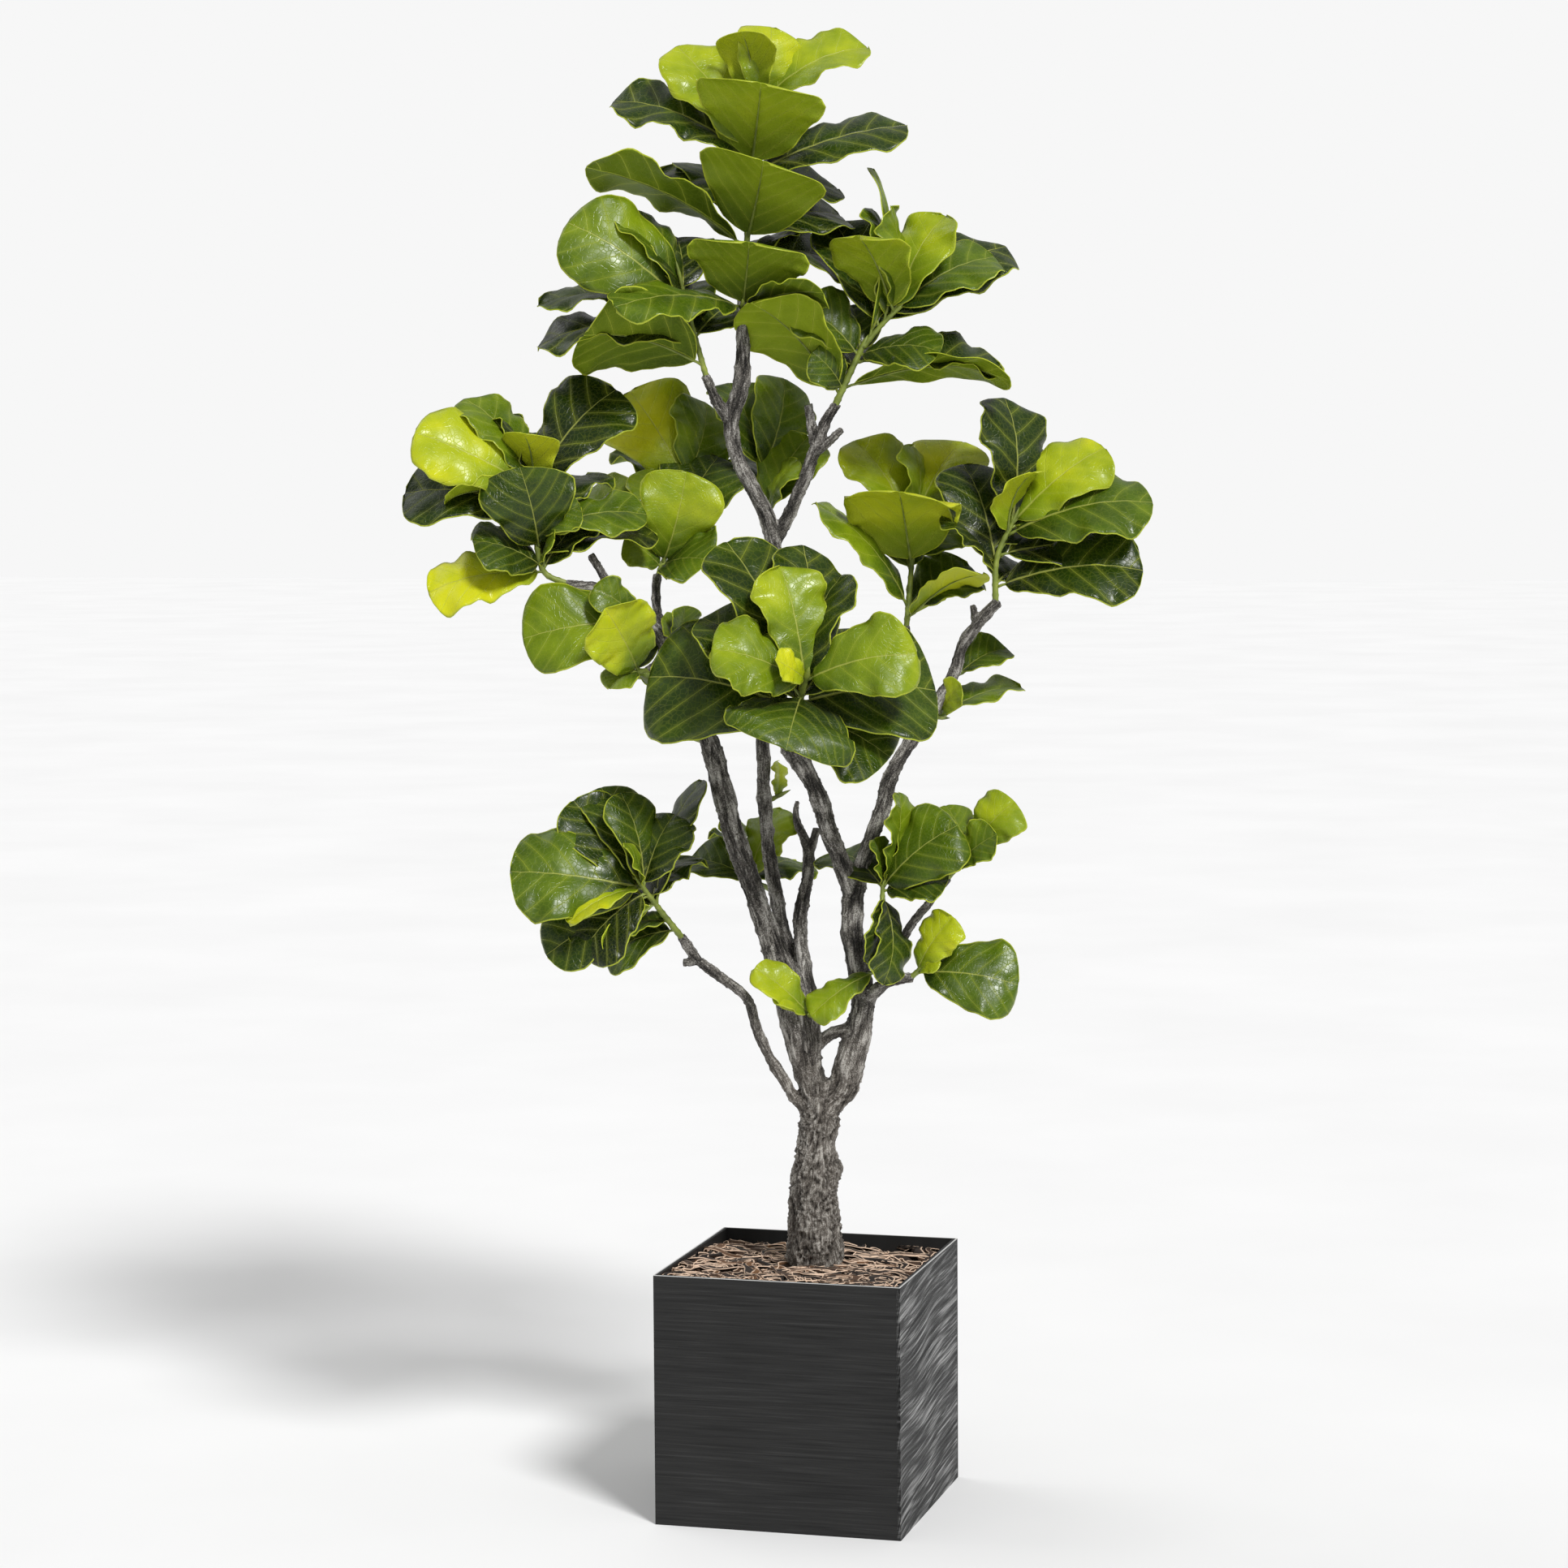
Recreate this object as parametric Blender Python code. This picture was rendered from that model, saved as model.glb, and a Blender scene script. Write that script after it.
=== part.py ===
"""Potted fiddle leaf fig: a square planter, potting soil, bark mulch, one grown trunk with
its branches, and the leafy shoots that the branches carry.

The planter stands on the origin with its sides along X and Y. The tree has a frame of its
own, the tree frame: x across, y away from the front, z up, turned about Z by TREE_TURN.
Branches and shoots are given in that frame in centimetres.
"""
import math

import bmesh
import bpy
from mathutils import Matrix, Vector

# Driving dimensions, in metres
PLANTER_SIDE = 0.350
PLANTER_HEIGHT = 0.350
PLANTER_WALL = 0.006
PLANTER_CORNER = 0.0015
DRAIN_RADIUS = 0.007
DRAIN_OFFSET = 0.090
SOIL_TOP = 0.300
MULCH_TOP = 0.328
MULCH_SLOPE = 0.04
MULCH_BUMP = 0.004
MULCH_CELLS = 14
LEAF_THICKNESS = 0.0022
GAP = 0.0003
CM = 0.01
TREE_TURN = math.radians(15.4)

# Leaf outline: distance along the leaf, and half width as a share of the full half width
LEAF_OUTLINE = ((0.0, 0.0), (0.13, 0.0), (0.62, 0.96), (1.0, 0.42))
LEAF_ARCH = 0.09
LEAF_FOLD = 0.22
STALK_HALF_WIDTH = 0.30

# The trunk and its branches, grown as one: each line of points is (x, y, z, radius) in cm.
BRANCHES = {
    "trunk": (
        (0.5, 0, 24, 5.4), (0.6, 0, 30, 4.8), (0.9, 0, 34, 3.9), (0.9, 0, 42, 3.5),
        (1.2, 0, 49, 3.0), (1.6, 0, 55, 2.6), (1.6, 0, 60, 2.3),
    ),
    "left_stem": (
        (1.4, 0, 57, 1.9), (0, 0, 62, 2.1), (-0.8, -0.5, 66, 2.3), (-3, -1, 74, 2.0),
        (-5, -1.5, 80, 1.6), (-7, -2, 86, 1.4), (-10, -2.5, 95, 1.45), (-12.5, -3, 105, 1.4),
        (-14, -4, 110, 1.15), (-16.5, -4, 115, 1.1), (-19, -4, 121, 1.05),
        (-22, -4, 125, 1.0), (-27, -4, 129, 0.85), (-33, -5, 130, 0.65),
    ),
    "left_stem_up_twig": ((-26.5, -4, 128.5, 0.7), (-28, -4, 131.5, 0.65), (-29.5, -4, 134, 0.55)),
    "left_stem_side_twig": ((-19, -4, 121, 0.7), (-20.5, -1, 127, 0.6), (-20.5, 3, 131, 0.55)),
    "left_stem_low_twig": ((-19, -4, 121.5, 0.6), (-20.8, -4, 118.6, 0.5), (-22, -4.5, 118, 0.45)),
    "tall_stem": (
        (-1.5, -0.5, 73, 1.3), (-3, 2, 79.5, 1.0), (-4, 3, 85, 0.9), (-5.5, 4, 94, 0.88),
        (-6, 5, 104, 0.9), (-6, 5, 110, 0.95), (-5.3, 5, 120, 0.95), (-4, 5, 132, 1.0),
        (-5, 4, 138.5, 1.0), (-7.5, 3, 143.5, 0.95), (-9.4, 2, 148, 0.95), (-10, 1, 152, 1.05),
        (-8.6, 0, 157.5, 1.15), (-8.3, 0, 161, 1.0), (-8.4, 0, 165, 0.8), (-8, 0, 172, 0.6),
    ),
    "tall_stem_left_twig": ((-9.8, 1, 152, 0.85), (-12, 0, 155, 0.7), (-13.5, -2, 158.5, 0.6)),
    "tall_stem_right_twig": (
        (-4, 5, 135.5, 0.9), (-0.5, 4, 143, 0.85), (1.7, 3, 148.5, 0.85), (3, 2, 152, 0.75),
        (4.6, 1, 154.5, 0.65),
    ),
    "upper_stub": ((1.7, 3, 148, 0.7), (0.6, 3, 154.5, 0.6)),
    "lower_stub": ((2, 3, 148, 0.6), (5.3, 1, 151, 0.5)),
    "right_stem": (
        (2.4, 0, 56, 2.0), (5, 0, 59.5, 2.1), (6, 0, 63, 2.0), (7.2, 0, 67.5, 1.8),
        (7.8, 0, 72, 1.6), (6.9, 0, 77.5, 1.5), (6.3, 0, 82, 1.5), (6.7, 0, 87.5, 1.5),
    ),
    "front_branch": (
        (6.5, 0, 86, 1.2), (4.7, -1, 91.5, 1.15), (3.2, -2, 95, 1.2), (1.8, -4, 100, 1.2),
        (-0.4, -7, 105, 1.3), (-2.3, -10, 108, 1.1), (-2.3, -13, 111, 0.8),
    ),
    "right_branch": (
        (6.6, 0, 86, 1.2), (7.8, 1, 90.5, 1.1), (9.4, 2, 94.5, 1.0), (11, 3, 99, 0.95),
        (12, 3, 102.5, 0.95), (14.3, 4, 106.5, 0.9), (17.4, 4, 111, 0.9), (20.4, 4, 116, 0.85),
        (22, 4, 120.5, 0.8), (24, 3, 123.7, 0.8), (27, 2, 127, 0.7),
    ),
    "right_branch_stub": ((24, 3, 123.5, 0.6), (23.5, 3, 126.5, 0.5)),
    "right_branch_side_twig": ((17.4, 4, 111, 0.65), (14.8, 6, 117, 0.55), (14.3, 7, 123.5, 0.5)),
    "middle_stem": (
        (0.6, -0.8, 64.5, 1.2), (0.6, -1, 71, 1.1), (-0.3, -0.6, 75.5, 1.0), (-0.9, 0.6, 80, 0.95),
        (-0.7, 2, 84, 0.95), (0.2, 4, 88.5, 0.85), (0.4, 6, 91.5, 0.8), (-0.5, 8, 94, 0.6),
        (-1.5, 9, 96.5, 0.5), (-1.1, 10, 98.5, 0.35),
    ),
    "middle_stub": ((0.4, 6, 91, 0.6), (1.4, 6.4, 95, 0.5)),
    "low_left_stem": (
        (0.8, 0, 55, 0.9), (-2, -0.6, 58, 0.8), (-3.5, -1, 60.5, 0.75), (-5.2, -2, 63.5, 0.7),
        (-6.8, -3, 67, 0.7), (-7.9, -3, 71, 0.65), (-9, -4, 73, 0.65), (-11, -4, 74.5, 0.65),
        (-13, -5, 76, 0.65), (-15.3, -5, 78, 0.6), (-17.5, -6, 81.3, 0.55),
    ),
    "low_left_stub": ((-15, -5, 77.8, 0.55), (-17.2, -4.5, 77.4, 0.5)),
    "low_right_stem": (
        (7.7, 0, 71, 0.9), (9.5, -1, 72.7, 0.8), (11.2, -2, 74, 0.75), (12.8, -3, 74.7, 0.7),
        (14.7, -4, 75, 0.6),
    ),
    "low_right_up_twig": (
        (12, -2.5, 74.3, 0.6), (12.5, -3, 77.5, 0.6), (14.3, -3, 82, 0.55), (17.5, -4, 86, 0.5),
        (19.7, -4, 89, 0.45),
    ),
    "low_middle_twig": ((10.4, -1.5, 73.3, 0.6), (10.6, -2, 80, 0.55), (10.5, -3, 85.5, 0.5)),
    "bridge": ((0.6, 0, 64.6, 0.9), (3.4, 0, 66.6, 0.8), (6.4, 0, 67.6, 0.9)),
}

# Leafy shoots. "axis" is the shoot's own stem, as (x, y, z, radius) in cm, from inside the
# branch that carries it. Each leaf is (up, x, y, z, width, turn): how far up the shoot it
# leaves it, the way from there to its tip, and its full width, all in cm; then its turn
# about its own length in degrees, where 0 shows its upper face to the front, 90 turns that
# face up, or to the right on an upright leaf, and 180 shows the underside.
SHOOTS = {
    "crown_shoot": {
        "axis": ((-8.1, 0, 171, 0.45), (-7.2, 0, 184, 0.4), (-6.4, 0, 197, 0.25)),
        "leaves": (
            (18, -10.5, 5, 15, 10, 40), (25, -1.5, -2, 9.5, 8, 150), (25.5, 2.5, 2, 10, 8, 20),
            (24, 15.5, 3, 9, 9, 50), (16, 1.5, -8.5, 11, 15, 178), (17, -19, 4, 9, 10, 45),
            (15, 21.5, 4, 7, 10, 50), (6, 2.5, -9, 10.5, 15, 176), (5, -22, -2, 11, 9, 110),
            (13.5, 12, 8, 0, 8, 60), (4.5, 14, 10, -2, 9, 55), (7, 13, 10, 3, 10, 45),
            (8, -6, 14, 10, 11, 30), (19, 4, 13, 9, 10, 25), (11, -13, 12, 5, 10, 50),
            (3, 4, 14, 4, 11, 60),
        ),
    },
    "neck_shoot": {
        "axis": ((-8.3, 0, 167, 0.4), (-8.3, -2.4, 168, 0.35)),
        "leaves": ((2.2, 1, -8, 8.5, 14, 175), (2, 11, -6, 2, 8, 110), (2, -17, -14, 0, 9, 60)),
    },
    "left_top_shoot": {
        "axis": ((-13.3, -1.8, 158, 0.4), (-15.5, -2.5, 166, 0.35), (-16.9, -3, 172, 0.25)),
        "leaves": (
            (10, -16, -3, 12, 12, 30), (10.5, -9, 2, 13, 9, 65), (11, -5, 5, 11, 9, 60),
            (12.5, -1, 8, 8, 8, 20), (9, -21, 3, 2, 9, 75), (5, -22, 0, 1, 10, 60),
            (2, -16, -8, 4, 14, 130), (8, -4, 14, 6, 10, 40), (6, 6, 12, 5, 10, 40),
        ),
    },
    "right_top_shoot": {
        "axis": ((8.3, 1, 162.3, 0.4), (10.5, 1, 165, 0.35), (13, 1, 167.5, 0.3)),
        "leaves": (
            (1, 2, 2, 24, 6, 65), (3.5, -6, 8, 15, 9, 30), (4.5, -1, 4, 16, 8, 50),
            (6, 0, 0, 15, 8, 65), (6.3, 7, 3, 14, 8, 30), (6.5, 14, 4, 8, 11, 45),
            (5, 17, 9, 11, 10, 40), (6.4, -5, -8, 10.5, 10, 150), (4, 9, 14, 6, 11, 50),
        ),
    },
    "right_top_lower_shoot": {
        "axis": ((4.2, 1.3, 154, 0.5), (5.6, 1, 157, 0.45), (8, 1, 162, 0.4)),
        "leaves": (
            (8, -8, 1, 7, 9, 40), (8.3, -1, 5, 7, 7, 30), (8, 11, -5, 1, 9, 60),
            (7, 21, 3, -1, 10, 60), (3, 23, -4, 2, 9, 110), (3, -4, -3, 5, 6, 30),
            (3, -4, 4, 8, 6, 50), (2, -12, -6, 13, 11, 140), (6, -3, 14, 4, 10, 50),
        ),
    },
    "far_left_shoot": {
        "axis": (
            (-32.6, -5, 130, 0.45), (-36, -5.5, 132, 0.4), (-37, -6, 138, 0.35),
            (-37, -6, 144, 0.3),
        ),
        "leaves": (
            (15, -16, -4, 8, 10, 30), (15.3, -9, 3, 13, 8, 60), (15, -5, 5, 11, 6, 65),
            (15.5, 11, 4, 13.5, 11, 35), (12, -18, 2, 3, 11, 45), (15, -1, -4, 8, 7, 160),
            (14, -12, -4, 0, 6, 110), (7, -2, -5, 11, 11, 15), (4.5, -9, -4, 4, 9, 50),
            (3.5, -16, -3, -2, 9, 50), (4.5, 2, -4, 4, 5, 80), (4, 7, 4, 8, 9, 40),
            (9, 6, -1, 4, 6, 40), (6, 16, 4, 3, 7, 70), (9, 15, 2, 3, 8, 65),
            (10, -8, 14, 5, 11, 50), (12, 6, 13, 5, 11, 50),
        ),
    },
    "back_left_shoot": {
        "axis": (
            (-20.5, 2.6, 130.7, 0.4), (-18, 10, 138, 0.35), (-16.5, 15, 145, 0.3),
        ),
        "leaves": (
            (18, -8, 4, 13, 12, 15), (2.5, 3.5, -2, 13, 10, 20), (9, -14, 5, 5, 9, 40),
            (9, -3, 5, 9, 8, 20), (18.4, 3, 5, 11, 10, 30), (2, 7, -6, 1, 10, 60),
            (2, -5, -2, 4, 6, 40), (10, 6, 6, 10, 12, 20), (15, -6, 14, 6, 11, 50),
            (17, 5, 13, 3, 9, 60),
        ),
    },
    "back_middle_shoot": {
        "axis": ((-4.2, 4.5, 136.5, 0.4), (-5.5, 10, 141, 0.35), (-6, 12, 146, 0.3)),
        "leaves": (
            (11.5, 3.5, 4, 13.5, 9, 30), (12, -4.5, 4, 12.5, 10, 40), (6, 6, 3, 10, 9, 35),
            (4, 4, -1, 8, 6, 75), (9, -2, 14, 4, 10, 50),
        ),
    },
    "left_knee_shoot": {
        "axis": ((-22.3, -4, 125, 0.4), (-22.8, -6.6, 124.6, 0.35)),
        "leaves": ((2.3, -16, -2, -2, 11, 30), (2.3, -6, -3, 5, 5, 40)),
    },
    "left_low_shoot": {
        "axis": ((-21.6, -4.4, 118.1, 0.35), (-23.4, -6, 118, 0.3)),
        "leaves": ((2, -4, -9, 9, 9, 20), (1.8, -4, -3, -2, 5, 50), (1.8, -1, 3, 6, 6, 30)),
    },
    "left_bud_shoot": {
        "axis": ((-18.9, -4, 121.2, 0.35), (-17.8, -6, 121.6, 0.3)),
        "leaves": ((2, 1.5, -1, 5.5, 5, 45), (2, -1.5, -2, 4, 4, 70)),
    },
    "back_right_shoot": {
        "axis": ((14.3, 6.9, 123, 0.4), (15.2, 8, 133, 0.35), (15.5, 9, 138, 0.3)),
        "leaves": (
            (14, -8, 4, 13, 10, 35), (15, 0.5, 3, 11, 7, 60), (15, 7, 6, 12, 10, 30),
            (9, -2, -9, 11, 14, 175), (3, -13, -3, 15, 9, 60), (3, 9, 6, 6, 9, 45),
            (1.5, 10, -5, 7, 9, 110), (8, -5, 13, 8, 10, 40), (10, 7, 13, 6, 10, 40),
        ),
    },
    "far_right_shoot": {
        "axis": ((26.6, 2.1, 126.5, 0.45), (26.8, 2, 133, 0.4), (29, 2, 138, 0.3)),
        "leaves": (
            (11.5, 0, 4, 18, 10, 30), (11.5, 13, 2, 11, 9, 35), (10, 20, -2, 5, 11, 45),
            (10, 3, -5, 9, 8, 120), (11, 11, 4, 4, 6, 70), (7, 20, 3, 1, 10, 50),
            (2.5, 20, -4, 3, 11, 50), (5, -4, 5, 15, 10, 25), (4, -7, 1, 9, 7, 65),
            (8, 7, 15, 4, 11, 50), (3, 6, 14, 1, 10, 60),
        ),
    },
    "right_upper_bud_shoot": {
        "axis": ((20.6, 4, 116.4, 0.35), (21.8, 5.8, 116.8, 0.3)),
        "leaves": ((1.9, 7, 3, 3.5, 6, 50),),
    },
    "right_lower_bud_shoot": {
        "axis": ((17.2, 4, 110.8, 0.35), (18.8, 5.6, 110.6, 0.3)),
        "leaves": ((2, 12, 4, 4.5, 7, 70), (2, 3, -4, 5, 4, 40)),
    },
    "front_shoot": {
        "axis": (
            (-2.3, -12.6, 110.6, 0.5), (-1.3, -18.5, 113, 0.45), (0, -24, 118, 0.35),
        ),
        "leaves": (
            (13, -3, 2, 15.5, 9, 20), (13.3, -12, -5, 5, 10, 35), (13.3, 14.5, -4, 4, 10, 35),
            (13.5, -4, -5, 3, 4, 30), (11, -10, 6, 20, 11, 30), (10, -13, 4, 11, 11, 35),
            (11.5, 0, 7, 19, 9, 30), (12, 5, 5, 15, 10, 45), (7, -20, 2, 5, 16, 30),
            (8.5, 18.5, 2, 2, 15, 30), (10, -2, -10, -6, 15, 10), (6.5, 12.5, -3, -6, 13, 40),
            (5, 4, -4, -2, 4, 40), (8, -5, 8, 10, 9, 40), (9, 9, 8, 9, 9, 45),
        ),
    },
    "left_stem_single_leaf": {
        "axis": ((-13.4, -3.4, 107.6, 0.35), (-15, -1.4, 108.2, 0.3)),
        "leaves": ((2.3, -9, 5, 9.5, 8, 65),),
    },
    "low_left_shoot": {
        "axis": (
            (-17.2, -5.8, 80.9, 0.45), (-20, -9, 85, 0.4), (-22.5, -13, 89, 0.3),
        ),
        "leaves": (
            (11, -10, 4, 12, 9, 25), (11, -6, 6, 14, 8, 40), (11.6, -3, 2, 13, 7, 45),
            (11.8, 4, 3, 10, 8, 30), (11.5, -18, -3, 3, 12, 25), (10, -14, -2, -8, 8, 30),
            (10.7, -9, -3, -8, 9, 40), (11.8, -10, -6, -4, 5, 60), (11.8, -2, -4, 6, 4, 80),
            (8, -7, -5, -7, 5, 120), (4, -7, 3, -1, 5, 60), (2, -10, 2, -4, 8, 55),
            (7.5, 6, 5, 17, 8, 65), (7, -10, 9, 4, 9, 50), (9, 3, 11, 4, 9, 50),
        ),
    },
    "middle_back_shoot": {
        "axis": ((-4.4, 3, 86.4, 0.4), (-8, 9, 87.5, 0.35)),
        "leaves": (
            (7, -4, 4, 10, 7, 65), (6, -9, 3, 3, 8, 55), (7, 4.5, 3, 10, 7, 40),
            (7, -2, 12, 4, 9, 50), (6.8, 7, 10, 2, 8, 60),
        ),
    },
    "tall_stem_single_leaf": {
        "axis": ((-5.8, 4.6, 98.8, 0.35), (-4, 5.6, 99.6, 0.3)),
        "leaves": ((2, 0.5, 1, 5, 4, 50),),
    },
    "low_right_shoot": {
        "axis": ((10.5, -3, 85, 0.4), (10.6, -3, 88, 0.3)),
        "leaves": (
            (2.8, 2.5, -1, 13, 7, 65), (2.8, 3, 3, 11, 7, 70), (2.5, 10, -3, 9, 10, 40),
            (2, 9, -3, 2, 8, 60), (2.5, -1, -2, 7, 5, 60), (1.5, -2, -4, -9, 5, 50),
            (1.5, 0.5, -4, -12, 6, 50), (2.5, 5, 12, 5, 9, 50), (2.5, -6, 10, 4, 9, 50),
        ),
    },
    "low_far_right_shoot": {
        "axis": ((19.5, -4, 88.7, 0.35), (21.6, -4, 91.4, 0.35), (23.5, -4, 94, 0.3)),
        "leaves": (
            (6.2, 5.5, -1, 6, 7, 30), (2, 5.5, -3, 5, 6, 50), (6, 3, 7, 4, 7, 50),
            (5, -3, 4, 6, 6, 40),
        ),
    },
    "low_right_tip_shoot": {
        "axis": ((14.4, -3.9, 75, 0.4), (15.4, -4.6, 76, 0.35)),
        "leaves": ((1.3, 5, -2, 8, 6, 40), (1.4, 3, -3, 2, 3, 60), (1.3, 14, -2, -1.5, 10, 40)),
    },
    "trunk_front_shoot": {
        "axis": ((0.5, -1, 69.3, 0.35), (0.3, -3.4, 69.8, 0.3)),
        "leaves": ((2.3, -7.5, -2, 7, 5, 40), (2.3, -5, -2, 4, 4, 50)),
    },
    "low_right_twig_leaf": {
        "axis": ((10.4, -1.7, 75.6, 0.3), (9.4, -3.6, 75.8, 0.28)),
        "leaves": ((2, -9, -2, -6, 5, 50),),
    },
}

# Material: colour, roughness
FINISHES = {
    "charcoal_composite": ((0.035, 0.035, 0.036), 0.55),
    "dark_soil": ((0.045, 0.030, 0.020), 0.95),
    "shredded_bark": ((0.130, 0.065, 0.030), 0.90),
    "fig_bark": ((0.160, 0.135, 0.115), 0.85),
    "fig_leaf": ((0.075, 0.145, 0.020), 0.35),
}

parts = None
cutters = None
tree_place = Matrix.Rotation(TREE_TURN, 4, "Z")


def clear_scene():
    for leftover in list(bpy.data.objects):
        bpy.data.objects.remove(leftover, do_unlink=True)


def new_collection(name, inside=None):
    collection = bpy.data.collections.new(name)
    (inside or bpy.context.scene.collection).children.link(collection)
    return collection


def finish_material(name, finish):
    colour, roughness = FINISHES[finish]
    material = bpy.data.materials.new(name)
    material.use_nodes = True
    shader = material.node_tree.nodes["Principled BSDF"]
    shader.inputs["Base Color"].default_value = (*colour, 1.0)
    shader.inputs["Roughness"].default_value = roughness
    shader.inputs["Metallic"].default_value = 0.0
    return material


def new_object(name, mesh, collection):
    piece = bpy.data.objects.new(name, mesh)
    collection.objects.link(piece)
    return piece


def mesh_from(bm, name):
    bmesh.ops.recalc_face_normals(bm, faces=bm.faces)
    mesh = bpy.data.meshes.new(name)
    bm.to_mesh(mesh)
    bm.free()
    return mesh


def as_guide(piece):
    piece.hide_render = True
    piece.display_type = "WIRE"
    return piece


def box_mesh(bm, low, high):
    size = Vector(high) - Vector(low)
    centre = (Vector(high) + Vector(low)) / 2
    place = Matrix.Translation(centre) @ Matrix.Diagonal((*size, 1.0))
    bmesh.ops.create_cube(bm, size=1.0, matrix=place)


def boolean(piece, operation, operand):
    cut = piece.modifiers.new(operation.lower(), "BOOLEAN")
    cut.operation = operation
    cut.solver = "EXACT"
    if isinstance(operand, bpy.types.Collection):
        cut.operand_type = "COLLECTION"
        cut.collection = operand
    else:
        cut.object = operand


def stem_mesh(points, name, extra=0.0, sides=1):
    """A tapered stem along (x, y, z, radius) points in cm, closed at both ends.

    It has 2 * sides + 4 flat sides. A clearance is thicker and longer by extra, in metres.
    """
    curve = bpy.data.curves.new(name, "CURVE")
    curve.dimensions = "3D"
    curve.bevel_depth = 1.0
    curve.bevel_resolution = sides
    curve.use_fill_caps = True
    spline = curve.splines.new("POLY")
    spline.points.add(len(points) - 1)
    places = [Vector(point[:3]) * CM for point in points]
    places[0] += (places[0] - places[1]).normalized() * extra
    places[-1] += (places[-1] - places[-2]).normalized() * extra
    for point, place, (_, _, _, radius) in zip(spline.points, places, points):
        point.co = (*(tree_place @ place), 1.0)
        point.radius = radius * CM + extra
    path = bpy.data.objects.new(name, curve)
    bpy.context.scene.collection.objects.link(path)
    bpy.context.view_layer.update()
    depsgraph = bpy.context.evaluated_depsgraph_get()
    mesh = bpy.data.meshes.new_from_object(path.evaluated_get(depsgraph))
    bpy.data.objects.remove(path, do_unlink=True)
    bm = bmesh.new()
    bm.from_mesh(mesh)
    bmesh.ops.remove_doubles(bm, verts=bm.verts, dist=0.00002)
    bmesh.ops.recalc_face_normals(bm, faces=bm.faces)
    bm.to_mesh(mesh)
    bm.free()
    return mesh


def leaf_frame(way, turn):
    """The leaf's own axes: along the midrib, out of the upper face, and across."""
    along = way.normalized()
    front = Vector((0, -1, 0))
    front = (front - along * front.dot(along)).normalized()
    side = along.cross(front)
    if side.dot(Vector((0.3, 0, 1))) < 0:
        side.negate()
    upper = front * math.cos(math.radians(turn)) + side * math.sin(math.radians(turn))
    return along, upper, along.cross(upper)


def leaf_mesh(foot, way, width, turn, name):
    """One leaf with its stalk: a grid bent to the leaf's outline, arch and fold."""
    length = way.length
    along, upper, across = leaf_frame(way, turn)
    rows = len(LEAF_OUTLINE)
    bm = bmesh.new()
    bmesh.ops.create_grid(bm, x_segments=2, y_segments=rows - 1, size=0.5)
    for vertex in bm.verts:
        step = round((vertex.co.y + 0.5) * (rows - 1))
        share, spread = LEAF_OUTLINE[step]
        side = 2 * vertex.co.x
        half = max(width / 2 * spread, STALK_HALF_WIDTH)
        rise = LEAF_ARCH * length * 4 * share * (1 - share) + LEAF_FOLD * abs(side) * half
        place = foot + along * (share * length) + across * (side * half) + upper * rise
        vertex.co = tree_place @ (place * CM)
    bmesh.ops.recalc_face_normals(bm, faces=bm.faces)
    bmesh.ops.solidify(bm, geom=bm.faces, thickness=LEAF_THICKNESS)
    return mesh_from(bm, name)


def point_up(axis, distance):
    """The point that lies this far up a shoot's axis, in cm."""
    for start, end in zip(axis, axis[1:]):
        start, end = Vector(start[:3]), Vector(end[:3])
        stretch = (end - start).length
        if distance <= stretch:
            return start.lerp(end, distance / stretch)
        distance -= stretch
    return end


def make_planter():
    bm = bmesh.new()
    half = PLANTER_SIDE / 2
    box_mesh(bm, (-half, -half, 0), (half, half, PLANTER_HEIGHT))
    bmesh.ops.bevel(
        bm, geom=bm.edges[:], offset=PLANTER_CORNER, segments=1, profile=0.5,
        affect="EDGES", material=-1)
    planter = new_object("planter", mesh_from(bm, "planter"), parts)
    inside = half - PLANTER_WALL
    bm = bmesh.new()
    box_mesh(bm, (-inside, -inside, PLANTER_WALL), (inside, inside, 2 * PLANTER_HEIGHT))
    hollow = new_object("planter_hollow", mesh_from(bm, "planter_hollow"), cutters)
    boolean(planter, "DIFFERENCE", as_guide(hollow))
    for number, (x, y) in enumerate(((-1, -1), (1, -1), (-1, 1), (1, 1)), 1):
        bm = bmesh.new()
        place = Matrix.Translation((x * DRAIN_OFFSET, y * DRAIN_OFFSET, 0))
        bmesh.ops.create_cone(
            bm, cap_ends=True, segments=12, radius1=DRAIN_RADIUS, radius2=DRAIN_RADIUS,
            depth=4 * PLANTER_WALL, matrix=place)
        name = f"drain_hole_{number}"
        boolean(planter, "DIFFERENCE", as_guide(new_object(name, mesh_from(bm, name), cutters)))
    planter.data.materials.append(finish_material("planter", "charcoal_composite"))


def make_soil(root_cutter):
    inside = PLANTER_SIDE / 2 - PLANTER_WALL - GAP
    bm = bmesh.new()
    box_mesh(bm, (-inside, -inside, PLANTER_WALL + GAP), (inside, inside, SOIL_TOP))
    soil = new_object("potting_soil", mesh_from(bm, "potting_soil"), parts)
    boolean(soil, "DIFFERENCE", root_cutter)
    soil.data.materials.append(finish_material("potting_soil", "dark_soil"))


def mulch_height(x, y):
    """Low uneven heaps of bark, sinking toward the back, in metres."""
    waves = math.sin(31 * x + 17 * y) + math.sin(43 * y - 23 * x + 1.3) + math.sin(71 * x + 0.4)
    return MULCH_TOP - MULCH_SLOPE * y + MULCH_BUMP * waves / 3


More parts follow.
